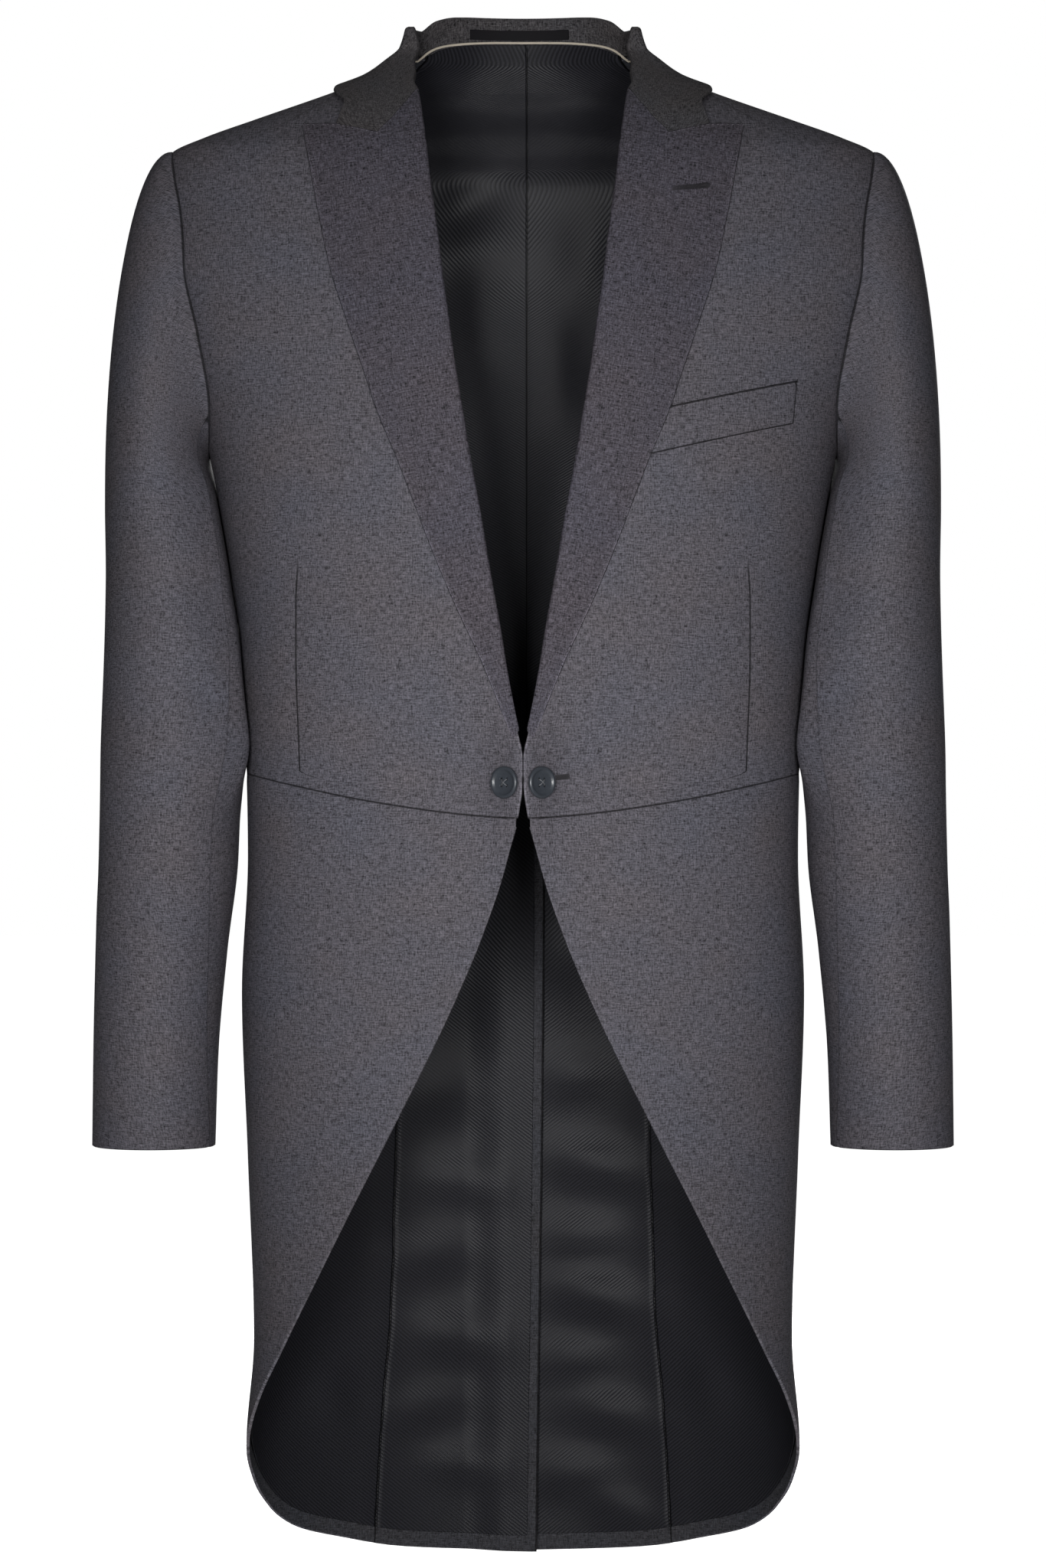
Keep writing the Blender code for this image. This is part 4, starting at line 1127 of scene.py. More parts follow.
@dataclass
class Sleeve:
    """The sleeve's outer face, by the turn round the arm from its top, front first, and by row."""

    rings: tuple = (
        Ring(-310, 241.5, 0, 36.5, 74, 0), Ring(-360, 237, -2, 40.5, 71, 0),
        Ring(-420, 234.2, -7, 44.6, 67, -2),
        Ring(-480, 233.7, -14, 46.6, 64, -8), Ring(-540, 234.7, -21, 46.2, 61.5, -8),
        Ring(-600, 238.8, -29, 43.6, 59, 0), Ring(-670, 242.1, -38, 41.2, 55.5, 10),
        Ring(-729, 243, -45, 40.5, 52, 20),
    )
    outward: tuple = ((0, (1.0, 0.0, 0.1)), (90, (1.0, -0.35, 0.0)), (180, (0.35, 0.0, -1.0)),
                      (270, (1.0, 0.3, 0.0)), (360, (1.0, 0.0, 0.1)))
    leave: float = 23.0
    leave_under: float = 8.0
    arrive: float = 128.0
    arrive_under: float = 12.0
    power: float = 1.2
    lift: float = 0.5
    tuck: float = 2.5
    rest_gap: float = 0.6
    lean_limit: float = 20.0
    lean_turn: float = 185.0
    lean_spread: float = 50.0
    lean_top: float = -262.0
    lean_foot: float = -520.0
    crown: float = -130.0
    head_rows: int = 30
    tube_rows: int = 84
    top_columns: int = 62
    under_columns: int = 30
    front_seam: float = -250.0
    back_seam: float = -200.0
    curves: dict = field(default_factory=dict)

    def __post_init__(self) -> None:
        """Make a smooth curve of each column of the rings."""
        for name in ("middle_x", "middle_y", "half_x", "half_y", "turn"):
            self.curves[name] = SmoothCurve([(ring.z, getattr(ring, name)) for ring in self.rings])

    def tube_point(self, turn: Array, z: Array) -> Array:
        """Points of the tube below the head.

        Args:
            turn: Turns in degrees.
            z: Heights.

        Returns:
            Points in millimetres.
        """
        read = {name: curve(z) for name, curve in self.curves.items()}
        angle = np.radians(turn + read["turn"])
        x = read["middle_x"] + read["half_x"] * np.cos(angle)
        y = read["middle_y"] - read["half_y"] * np.sin(angle)
        return np.stack(np.broadcast_arrays(x, y, np.asarray(z, float) + 0 * x), axis=-1)

    def armhole_turn(self, z: float, behind: bool) -> float:
        """The turn at which the armhole crosses the height z."""
        middle = (FORM.armhole_top + FORM.armhole_bottom) / 2
        turn = math.degrees(math.acos((z - middle) / (FORM.armhole_top - middle)))
        return 360 - turn if behind else turn

    def head_point(self, turn: Array, t: Array) -> Array:
        """Points of the sleeve head: t runs from 0 at the armhole to 1 at the first ring."""
        turn = np.mod(turn, 360.0)
        g, z = self.armhole_place(turn)
        start = FORM.point(g, z) + FORM.normal(g, z) * self.lift
        end = self.tube_point(turn, self.rings[0].z)
        below = self.tube_point(turn, self.rings[1].z)
        over = (1 + np.cos(np.radians(turn))) / 2
        leave = self.leave_under + (self.leave - self.leave_under) * np.sqrt(over)
        arrive = self.arrive_under + self.arrive * over ** self.power
        second = start + self.direction(turn) * leave[..., None]
        third = end + unit(end - below) * arrive[..., None]
        t = np.asarray(t, float)[:, None, None]
        s = 1 - t
        return start * s ** 3 + second * 3 * s * s * t + third * 3 * s * t * t + end * t ** 3

    def direction(self, turn: Array) -> Array:
        """Direction in which the sleeve leaves the armhole."""
        result = np.zeros(turn.shape + (3,))
        for (start, first), (end, second) in zip(self.outward, self.outward[1:]):
            share = smooth((turn - start) / (end - start))[..., None]
            mixed = np.array(first) * (1 - share) + np.array(second) * share
            inside = ((turn >= start) & (turn <= end))[..., None]
            result = np.where(inside, mixed, result)
        return unit(result)

    @staticmethod
    def armhole_place(turn: Array) -> tuple[Array, Array]:
        """The place (g, z) of the armhole at each turn from 0 to 360."""
        middle = (FORM.armhole_top + FORM.armhole_bottom) / 2
        z = middle + (FORM.armhole_top - middle) * np.cos(np.radians(turn))
        front, back = FORM.armhole(z)
        return np.where(turn <= 180, front, back), z

    def leaned(self, points: Array, turn: Array) -> Array:
        """The sleeve with its inner side resting against the body, from the armhole to the waist.

        Args:
            points: The sleeve's points, rows down and columns round.
            turn: The turn of each column.

        Returns:
            The moved points.
        """
        z = points[..., 2]
        body = FORM.point(FORM.depth_place(points[..., 1], z), z)[..., 0]
        room = np.maximum(points[..., 0] - body - self.rest_gap, 0.0)
        round_share = np.exp(-((np.mod(turn, 360.0) - self.lean_turn) / self.lean_spread) ** 2)
        down_share = smooth((self.lean_top - z) / 40.0) * smooth((z - self.lean_foot) / 60.0)
        moved = points.copy()
        moved[..., 0] -= np.minimum(room, self.lean_limit) * round_share * down_share
        return moved

    def surface(self, start: float, end: float, columns: int) -> Surface:
        """The sleeve's face between two turns.

        Args:
            start: First turn in degrees.
            end: Last turn.
            columns: Steps between them.

        Returns:
            The surface, its rows from the armhole to the cuff.
        """
        turn = np.linspace(start, end, columns + 1)
        head = self.head_point(turn, np.linspace(0, 1, self.head_rows)[:-1])
        levels = np.linspace(self.rings[0].z, self.rings[-1].z, self.tube_rows)
        tube = self.tube_point(turn[None, :], levels[:, None])
        inward = -FORM.normal(*self.armhole_place(np.mod(turn, 360.0))) * self.tuck
        tucked = head[:1] + inward - np.array([0.4 * self.tuck, 0.0, 0.0])
        points = self.leaned(np.concatenate([tucked, head, tube]), turn)
        level = np.minimum(points[..., 2], self.crown)
        axis = np.stack([self.curves["middle_x"](level), self.curves["middle_y"](level), level], axis=-1)
        return Surface(points, unit(points - axis)).renewed()


SLEEVE = Sleeve()
LONG_SEAM_SHADE = 0.3
HEAD_SEAM_WIDTH = 0.9
HEAD_SETTLED = 2
SLEEVE_FOLDS = (
    Crease(232, -384, 202, -412, 13, 1.8),
    Crease(236, -408, 206, -438, 9, -1.3),
    Crease(226, -352, 200, -372, 11, -1.0),
    Crease(252, -300, 214, -348, 22, 1.0),
    Crease(262, -560, 226, -600, 20, 0.9),
)


def build_sleeves() -> None:
    """Top sleeves and under sleeves, with a soft break at the elbow."""
    suiting = material_of(Finish.SUITING)
    lining = material_of(Finish.LINING)
    front = SLEEVE.armhole_turn(SLEEVE.front_seam, False)
    back = SLEEVE.armhole_turn(SLEEVE.back_seam, True)
    parts = {"topsleeve": SLEEVE.surface(back - 360, front, SLEEVE.top_columns),
             "undersleeve": SLEEVE.surface(front, back, SLEEVE.under_columns)}
    for name, surface in parts.items():
        x, z = surface.points[..., 0], surface.points[..., 2]
        ahead = smooth((20 - surface.points[..., 1]) / 50)
        relief = sum((fold.relief(x, z) for fold in SLEEVE_FOLDS), np.zeros(x.shape)) * ahead
        head_seam = np.maximum(edge_gap(surface, ("top",)) - SLEEVE.tuck, 0.0)
        long_seam = edge_gap(surface, ("inner", "outer"))
        strength = np.where(head_seam < 4.0, 1.0, LONG_SEAM_SHADE)
        sewn = marks("seam", np.minimum(long_seam, np.maximum(head_seam - HEAD_SEAM_WIDTH, 0.0)), strength)
        bent = surface.lifted(relief).renewed()
        bent.normals[:HEAD_SETTLED] = bent.normals[HEAD_SETTLED]
        for side in Side:
            cloth = Cloth("%s_cloth_%s" % (name, side.word), bent, SUITING_DEPTH, suiting, lining, suiting,
                          side, sewn)
            enlist_cloth(cloth, "%s_%s" % (name, side.word))


LEAF_HEIGHT = 4.0
FOLD_RADIUS = 3.0
FOLD_STEPS = 8
GORGE: Table = ((76, -46), (85, -57.5), (94.6, -68), (108, -64.5), (121, -61))
COLLAR_LEAF = (0, 0.16, 0.33, 0.52, 0.78, 1)
COLLAR_EDGE: Table = ((0.42, -31), (0.5, -27), (0.57, -24.5), (0.64, -22), (0.71, -21), (1, -20))
NECK_SEAM = -1.6
LAPEL_TOP: Table = ((68, -34.6), (76, -46.7), (85, -58.3), (94.6, -68.8), (108, -65.3), (121, -61.8),
                    (133, -60.6), (144, -60))
LAPEL_LEAF = (0, 0.105, 0.224, 0.35, 0.52, 0.697, 0.85, 1)
LAPEL_ROWS = (0, 0.025, 0.055, 0.09, 0.13, 0.19, 0.27, 0.36, 0.46, 0.56, 0.67, 0.78, 0.89, 1)
LAPEL_FOLD_END = -457.0
LAPEL_TIP_END = -463.0
LAPEL_BEND_SHARE = 0.13
LAPEL_BELLY = 1.6
LAPEL_REST: Table = ((-60, 2.5), (-190, 2.5), (-222, 4.0), (-286, 4.0), (-322, 2.5), (-455, 2.5))
LAPEL_FOOT = 0.82
LAPEL_FOOT_HEIGHT = 0.3
FOLD_COVER = 0.7
LAPEL_HIGHLIGHT_TOP = -250.0
LAPEL_WEAVE_TURN = math.radians(11)


@dataclass(frozen=True)
class CollarStation:
    """One line across the collar's front end: crest, foot and outer edge, and its gorge bend."""

    crest: tuple[float, float]
    base: tuple[float, float]
    edge: tuple[float, float]
    bend: float


COLLAR_FRONT = (
    CollarStation((68, -34), (70.6, -36.2), (121, -61), 1.0),
    CollarStation((69.5, -22), (72, -26), (119, -53), 0.5),
    CollarStation((70.5, -9), (74.6, -14), (117, -43), 0.2),
)


def between(start: Sequence[float], end: Sequence[float], share: float) -> tuple[float, float]:
    """The point a share of the way from start to end."""
    return start[0] + (end[0] - start[0]) * share, start[1] + (end[1] - start[1]) * share


def front_spot(x: float, z: float) -> tuple[float, float]:
    """The place (g, z) on the front of the form."""
    return float(FORM.front_place(x, z)), z


def fold_start(crest: Sequence[float], toward: Sequence[float]) -> tuple[float, float]:
    """Where a fold begins, one radius back from its crest towards the leaf."""
    run = math.hypot(toward[0] - crest[0], toward[1] - crest[1])
    return between(crest, toward, FOLD_RADIUS / run)


def folded(places: Array, base_count: int, steps: int, height: Array, rest: Array, belly: float) -> Surface:
    """A piece folded back on itself: up the neck side, round the fold, then down the leaf.

    Args:
        places: Places (g, z), a row for each line across; the fold is column base_count.
        base_count: How many places come before the fold.
        steps: Columns for each space between two leaf places.
        height: How far the leaf stands out of the form beside the fold, by row.
        rest: How far its outer edge stands out, by row.
        belly: How far the middle of the leaf stands above the line between them.

    Returns:
        The surface, its normals pointing to the face that shows.
    """
    fold = places[:, base_count]
    point, normal = FORM.point(fold[:, 0], fold[:, 1]), FORM.normal(fold[:, 0], fold[:, 1])
    first = places[:, base_count + 1]
    toward = FORM.point(first[:, 0], first[:, 1]) - point
    outward = -unit(toward - normal * np.sum(toward * normal, axis=-1, keepdims=True))
    parts, directions = [], []
    if base_count:
        base = on_form(resampled(places[:, :base_count + 1], 3))
        parts.append(base.points - base.normals * SUITING_DEPTH)
        directions.append(-base.normals)
    radius = (height[:, None] + SUITING_DEPTH) / 2
    for turn in np.linspace(0, np.pi, FOLD_STEPS + 1)[1 if base_count else 0:-1]:
        direction = outward * np.sin(turn) - normal * np.cos(turn)
        spot = point + normal * (height[:, None] - radius) + direction * radius
        parts.append(spot[:, None])
        directions.append(direction[:, None])
    leaf = on_form(resampled(places[:, base_count:], steps))
    share = np.linspace(0, 1, leaf.points.shape[1])[None, :]
    reach = np.linalg.norm(leaf.points[:, -1] - leaf.points[:, 0], axis=-1)[:, None]
    lift = height[:, None] + (rest - height)[:, None] * smooth(share)
    lift = lift + belly * np.sin(np.pi * share) * np.minimum(reach / 60.0, 1.0)
    parts.append(leaf.points + leaf.normals * lift[..., None])
    directions.append(leaf.normals)
    return Surface(np.concatenate(parts, axis=1), np.concatenate(directions, axis=1)).renewed()


def collar_front_places(station: CollarStation) -> list:
    """Places of one line across the collar's front end."""
    first = COLLAR_FRONT[0]
    first_fold = fold_start(first.crest, GORGE[0])
    fold = fold_start(station.crest, station.edge if station.bend < 1 else GORGE[0])
    leaf = []
    for share, corner in zip(COLLAR_LEAF[1:], GORGE):
        straight = between(first_fold, first.edge, share)
        spot = between(fold, station.edge, share)
        leaf.append(front_spot(spot[0] + station.bend * (corner[0] - straight[0]),
                               spot[1] + station.bend * (corner[1] - straight[1])))
    stand = [station.base, between(station.base, fold, 0.5), fold]
    return [front_spot(*place) for place in stand] + leaf


def neck_stations() -> Array:
    """Places round the neck, from the shoulder seam to the centre back."""
    return np.linspace(PATTERN.shoulder_place(CUT.yoke_rows[0]), 1.0, CUT.back_columns + 1)


NECK_HALF = 71.0
CREST_HEIGHT = 26.0
CREST_DROP = 12.5
CREST_POWER = 8


def collar_crest(x: Array) -> Array:
    """Height of the collar's fold by its distance from the middle."""
    return CREST_HEIGHT - CREST_DROP * np.minimum(np.abs(x) / NECK_HALF, 1.0) ** CREST_POWER


def collar_back_places(g: float, edge_height: float) -> list:
    """Places of one line across the collar behind the neck."""
    top = float(collar_crest(FORM.point(g, NECK_SEAM)[0])) - FOLD_RADIUS
    return [(g, NECK_SEAM), (g, (NECK_SEAM + top) / 2), (g, top)] + [
        (g, top + share * (edge_height - top)) for share in COLLAR_LEAF[1:]]


def collar_half() -> Surface:
    """The collar's surface from its left front end to the centre back."""
    edge_height = SmoothCurve(COLLAR_EDGE)
    rows = [collar_front_places(station) for station in COLLAR_FRONT]
    rows += [collar_back_places(float(g), float(edge_height(g))) for g in neck_stations()]
    places = refine(np.array(rows), 7, 1)
    height = np.full(len(places), LEAF_HEIGHT)
    return folded(places, 2, 6, height, height, 0.0)


def lapel_height(share: Array) -> Array:
    """How far the lapel stands out beside its fold, a share of the way down it."""
    return LEAF_HEIGHT + (LAPEL_FOOT_HEIGHT - LEAF_HEIGHT) * smooth((share - LAPEL_FOOT) / (1 - LAPEL_FOOT))


def lapel_surface() -> Surface:
    """The lapel's face, its threads parallel to its outer edge."""
    places = refine(lapel_places(), 7, 1)
    height = lapel_height(refine(np.array(LAPEL_ROWS)[:, None, None] * np.ones((1, 2, 1)), 7, 1)[:, 0, 0])
    rest = np.minimum(SmoothCurve(LAPEL_REST)(places[:, -1, 1]), height)
    lapel = folded(places, 0, 7, height, rest, LAPEL_BELLY)
    x, z = lapel.points[..., 0] * MM, lapel.points[..., 2] * MM
    cosine, sine = math.cos(LAPEL_WEAVE_TURN), math.sin(LAPEL_WEAVE_TURN)
    lapel.weave = np.stack([x * cosine - z * sine, x * sine + z * cosine], axis=-1)
    return lapel


def lapel_places() -> Array:
    """Places of the lapel from its fold to its edge, its top bent along the gorge."""
    start, tip = LAPEL_TOP[0], LAPEL_TOP[-1]
    top_fold = fold_start(start, LAPEL_TOP[1])
    grid = []
    for share in LAPEL_ROWS:
        inner_z = start[1] + share * (LAPEL_FOLD_END - start[1])
        outer_z = tip[1] + share * (LAPEL_TIP_END - tip[1])
        radius = (lapel_height(share) + SUITING_DEPTH) / 2
        fold = (float(PATTERN.roll(inner_z)) + radius - FOLD_COVER, inner_z) if share else top_fold
        edge = (max(float(PATTERN.lapel_edge(outer_z)), fold[0] + 1.0), outer_z)
        bend = 1 - float(smooth(share / LAPEL_BEND_SHARE))
        row = [front_spot(*fold)]
        for along, corner in zip(LAPEL_LEAF[1:], LAPEL_TOP[1:]):
            straight = between(top_fold, tip, along)
            spot = between(fold, edge, along)
            row.append(front_spot(spot[0] + bend * (corner[0] - straight[0]),
                                  spot[1] + bend * (corner[1] - straight[1])))
        grid.append(row)
    return np.array(grid)


def lapel_highlight(lapel: Surface) -> Array:
    """How strongly the painted highlight shows along the lapel's edge: more towards its foot."""
    return 0.3 + 0.7 * smooth((LAPEL_HIGHLIGHT_TOP - lapel.points[..., 2]) / 150.0)


def build_collar_and_lapels() -> dict[str, Surface]:
    """The collar in one piece round the neck, and the two peak lapels.

    Returns:
        The surfaces that the stitching follows, by name.
    """
    collar_cloth = material_of(Finish.COLLAR)
    lapel_cloth = material_of(Finish.LAPEL)
    half = collar_half()
    other = half.mirrored()
    whole = Surface(np.concatenate([half.points, other.points[-2::-1]]),
                    np.concatenate([half.normals, other.normals[-2::-1]]))
    collar = Cloth("collar_cloth", whole, SUITING_DEPTH, collar_cloth, collar_cloth, collar_cloth)
    enlist_cloth(collar, "collar")
    lapel = lapel_surface()
    # painted highlight along the lapel's outer edge
    lapel_lines = marks("pressed", edge_gap(lapel, ("outer",)), lapel_highlight(lapel))
    lapel_lines.update(marks("seam", edge_gap(lapel, ("top",))))
    for side in Side:
        # the lapel's rim takes the lighter edge finish, a painted highlight
        cloth = Cloth("lapel_cloth_" + side.word, lapel, SUITING_DEPTH, lapel_cloth,
                      material_of(Finish.SUITING), material_of(Finish.PRESSED), side, lapel_lines)
        enlist_cloth(cloth, "lapel_" + side.word)
    return {"collar": half, "lapel": lapel}


WELT_TOP = ((83, -250.5), (178, -229))
WELT_BOTTOM = ((79, -279), (175.4, -256.6))
WELT_THICKNESS = 1.2
WELT_HEIGHT = 1.75
WELT_OPENING_SHADOW = 0.9


def welt_surface() -> Surface:
    """The welt of the breast pocket, a slanted strip on the wearer's left forepart."""
    rows = []
    for share in np.linspace(0, 1, 13):
        row = []
        for along in np.linspace(0, 1, 45):
            spot = between(between(*WELT_TOP, along), between(*WELT_BOTTOM, along), share)
            row.append(front_spot(*spot))
        rows.append(row)
    flat = on_form(np.array(rows))
    return flat.lifted(WELT_HEIGHT + edge_roll(flat, 0.7, 1.8, ("inner", "outer", "bottom")))


def welt_marks(surface: Surface) -> dict:
    """The welt's lines: a wide painted shadow in the pocket opening along its top, fine seams at its end and
    foot.
    """
    # the shade in the pocket opening is painted as a widened dark line along the top
    opening_shadow = np.maximum(edge_gap(surface, ("top",)) - WELT_OPENING_SHADOW, 0.0)
    return marks("seam", np.minimum(opening_shadow, edge_gap(surface, ("inner", "outer", "bottom"))))


def build_welt() -> Surface:
    """The breast pocket's welt."""
    surface = welt_surface()
    suiting = material_of(Finish.SUITING)
    enlist_cloth(Cloth("welt_cloth", surface, WELT_THICKNESS, suiting, suiting, suiting,
                       marks=welt_marks(surface)), "welt_pocket")
    return surface


@dataclass(frozen=True)
class Ripple:
    """A soft swell in the lining, by its middle, half sizes, slant and height in millimetres."""

    x: float
    z: float
    half_x: float
    half_z: float
    slant: float
    height: float

    def relief(self, x: Array, z: Array) -> Array:
        """Height of the swell at the given places, seen from the front."""
        across = x - self.x
        down = z - self.z - self.slant * across
        return self.height * np.exp(-(across / self.half_x) ** 2 - (down / self.half_z) ** 2)


LEFT_RIPPLES = (
    Ripple(34, -690, 26, 16, 0.10, 2.2), Ripple(50, -752, 34, 15, -0.12, 3.0),
    Ripple(40, -800, 30, 13, 0.10, 2.4),
    Ripple(52, -842, 36, 15, -0.16, 3.2), Ripple(36, -884, 28, 13, 0.14, 2.4),
    Ripple(60, -922, 34, 14, -0.10, 3.0),
    Ripple(34, -962, 30, 14, 0.12, 2.6), Ripple(70, -988, 24, 12, -0.2, 1.8),
    Ripple(128, -900, 14, 20, -0.3, 1.6),
    Ripple(30, -610, 26, 22, 0.05, 1.6), Ripple(44, -130, 20, 34, 0.5, 1.8),
    Ripple(24, -210, 18, 40, -0.5, 1.4),
    Ripple(52, -300, 18, 44, 0.3, 1.4),
)
RIGHT_RIPPLES = (
    Ripple(58, -700, 30, 20, -0.10, 1.8), Ripple(44, -762, 32, 16, 0.12, 2.4),
    Ripple(64, -812, 34, 15, -0.10, 2.0),
    Ripple(48, -868, 34, 17, 0.14, 2.8), Ripple(70, -918, 32, 14, -0.12, 2.0),
    Ripple(44, -956, 30, 14, 0.10, 2.2),
    Ripple(132, -910, 14, 22, 0.3, 1.4), Ripple(40, -620, 24, 26, 0.08, 1.4),
    Ripple(40, -96, 26, 22, -0.35, 2.4),
    Ripple(30, -170, 18, 40, 0.4, 1.6), Ripple(54, -260, 20, 46, -0.3, 1.4),
)
LINING_EASE: Table = ((-200, 0), (-130, 0.8), (-85, 2.4), (-60, 2.4), (-20, 0.8), (0, 0))
PLEAT_DEPTH: Table = ((-520, 0), (-470, 1.8), (10, 1.8))
PLEAT_LAP = 3.0
LINING_HEM_RISE = 11.0
LINING_EDGE_INSET = 6.5
LINING_SIDE_LIMIT = 0.68
SKIRT_LINING_START = 3
LINING_SHEET = 0.6
PUCKER_PITCH = 16.0
RIPPLE_GAIN = 2.0
LINING_TOP = 9.0
LINING_DIP = 8.0
LINING_END_DIP = 7.0


def lining_top(x: float) -> float:
    """Height of the back lining's upper edge at the neck."""
    share = min(abs(x) / NECK_HALF, 1.0)
    return LINING_TOP - LINING_DIP * share ** 3 - LINING_END_DIP * share ** 16


def puckers(surface: Surface, side: Side, inner: bool, outer: bool) -> Array:
    """Small gathers along a lining's seams, from 0 to 1."""
    u, v = surface.lengths()
    from_inner, from_outer = (u - u[:, :1]) / MM, (u[:, -1:] - u) / MM
    wave = 0.5 + 0.5 * np.sin(v / MM / PUCKER_PITCH * 2 * np.pi + 1.7 * np.sin(v / MM / 53.0) + side.value)
    near = np.zeros(u.shape)
    if inner:
        near = near + np.exp(-(from_inner / 13.0) ** 2)
    if outer:
        near = near + np.exp(-(from_outer / 13.0) ** 2)
    return wave * np.minimum(near, 1.0)


def lining_relief(surface: Surface, side: Side) -> Array:
    """How far the lining stands in from the cloth, over its smooth place."""
    ripples = LEFT_RIPPLES if side is Side.LEFT else RIGHT_RIPPLES
    x, z = surface.points[..., 0], surface.points[..., 2]
    swell = sum((ripple.relief(x, z) for ripple in ripples), np.zeros(x.shape))
    return RIPPLE_GAIN * swell * smooth(surface.points[..., 1] / 40.0)


def build_linings() -> None:
    """The back's lining with its centre pleat, and the skirts' linings."""
    satin = material_of(Finish.LINING)
    left_edge, right_edge = SmoothCurve(CUT.left_tail_edge), SmoothCurve(CUT.right_tail_edge)
    ease, pleat = SmoothCurve(LINING_EASE), SmoothCurve(PLEAT_DEPTH)
    options = {"top": lining_top, "side_limit": LINING_SIDE_LIMIT, "hem_lift": LINING_HEM_RISE,
               "edge_inset": LINING_EDGE_INSET}
    skirt = panel(PATTERN.skirt(LINING_HEM_RISE, SKIRT_LINING_START), 12, 1)
    for side in Side:
        if side is Side.LEFT:
            back = panel(PATTERN.back(left_edge, **options), 6, 8)
        else:
            back = lapped(panel(PATTERN.back(right_edge, pleat=PLEAT_LAP, **options), 6, 8),
                          lambda z: np.maximum(PATTERN.vent_depth(z), pleat(z)))
        z = back.points[..., 2]
        inward = LINING_INSIDE + ease(z) + lining_relief(back, side) + 0.7 * puckers(back, side, True, False)
        seam = edge_roll(back, 1.0, 3.0, ("inner",))
        lined = back.lifted(-(inward + seam)).renewed()
        pleated = np.where(z > CUT.vent_top, edge_gap(back, ("inner", "outer")), edge_gap(back, ("inner",)))
        cloth = Cloth("back_lining_sheet_" + side.word, lined, LINING_SHEET, satin, satin, satin, side,
                      marks("seam", pleated))
        enlist_cloth(cloth, "back_lining_" + side.word)
        inward = LINING_INSIDE + lining_relief(skirt, side) + 0.7 * puckers(skirt, side, False, True)
        seam = edge_roll(skirt, 1.0, 3.0, ("outer", "top"))
        lined = skirt.lifted(-(inward + seam)).renewed()
        cloth = Cloth("skirt_lining_sheet_" + side.word, lined, LINING_SHEET, satin, satin, satin, side,
                      marks("seam", edge_gap(skirt, ("outer",))))
        enlist_cloth(cloth, "skirt_lining_" + side.word)


def solid(name: str, verts: Array, faces: list, finish: Finish) -> bpy.types.Object:
    """A smooth closed object of one finish, its faces turned outward."""
    mesh = bpy.data.meshes.new(name)
    mesh.from_pydata(verts.tolist(), [], faces)
    mesh.materials.append(material_of(finish))
    mesh.shade_smooth()
    if Cloth.signed_volume(mesh) < 0:
        mesh.flip_normals()
    made = bpy.data.objects.new(name, mesh)
    bpy.context.scene.collection.objects.link(made)
    return made


def tube_object(name: str, points: Array, radius: float, sides: int, finish: Finish) -> bpy.types.Object:
    """A closed round cord through the given points.

    Args:
        name: Name of the piece.
        points: Its middle line in millimetres.
        radius: Its radius in millimetres.
        sides: Sides of its section.
        finish: Its finish.

    Returns:
        The new object.
    """
    points = np.asarray(points, float)
    tangents = unit(np.gradient(points, axis=0))
    across = unit(np.cross(tangents, np.array([0.0, 0.0, 1.0]) + 1e-6))
    up = np.cross(across, tangents)
    turn = np.linspace(0, 2 * np.pi, sides, endpoint=False)
    ring = across[:, None] * np.cos(turn)[None, :, None] + up[:, None] * np.sin(turn)[None, :, None]
    verts = (points[:, None] + ring * radius).reshape(-1, 3) * MM
    index = np.arange(len(points) * sides).reshape(len(points), sides)
    after = np.roll(index, -1, axis=1)
    quads = np.stack([index[:-1], after[:-1], after[1:], index[1:]], axis=-1).reshape(-1, 4)
    faces = quads.tolist() + [index[0, ::-1].tolist(), index[-1].tolist()]
    return solid(name, verts, faces, finish)


PIPING_RADIUS = 0.8
PIPING_GAP = 0.6
LABEL_SPAN = (-36.8, 31.6)
LABEL_HEIGHTS = (11.9, 18.3)
LABEL_THICKNESS = 0.5


def build_piping() -> None:
    """The light piping between the collar's stand and the lining."""
    half = []
    for g in np.linspace(neck_stations()[0] + 0.012, 1.0, 40):
        x = abs(float(FORM.point(g, NECK_SEAM)[0]))
        z = lining_top(x) + PIPING_GAP + PIPING_RADIUS
        half.append(FORM.point(g, z) - FORM.normal(g, z) * (LINING_INSIDE + 0.2))
    half = np.array(half)
    other = half[-2::-1] * np.array([-1.0, 1.0, 1.0])
    piece = tube_object("neck_piping_cord", np.concatenate([half, other]), PIPING_RADIUS, 10, Finish.PIPING)
    enlist(piece, "neck_piping")


def build_label() -> None:
    """The blank woven label on the neck side of the collar."""
    rows = []
    for z in np.linspace(LABEL_HEIGHTS[1], LABEL_HEIGHTS[0], 9):
        places = np.linspace(LABEL_SPAN[1], LABEL_SPAN[0], 61)
        rows.append([(float(FORM.back_place(x, z)), z) for x in places])
    stand = on_form(np.array(rows))
    face = Surface(stand.points - stand.normals * (SUITING_DEPTH + 1.1), -stand.normals)
    label = material_of(Finish.LABEL)
    enlist_cloth(Cloth("neck_label_cloth", face, LABEL_THICKNESS, label, label, label), "neck_label")


@dataclass(frozen=True)
class ButtonShape:
    """A turned button with four holes, in millimetres; the profile is (radius, height)."""

    centre: float = 10.4
    profile: Table = ((0.0, 1.6), (9.2, 1.7), (10.1, 2.1), (10.5, 2.9), (10.45, 3.7), (10.0, 4.35),
                      (9.3, 4.65), (8.6, 4.6), (8.1, 4.3), (7.7, 3.85), (7.0, 3.55), (4.0, 3.3), (0.0, 3.25))
    sides: int = 72
    hole_radius: float = 0.95
    hole_spread: float = 2.1
    thread_radius: float = 0.42
    stem: Table = ((0.0, -1.0), (1.4, -1.0), (1.2, 0.6), (1.4, 1.8), (0.0, 1.8))


BUTTON = ButtonShape()


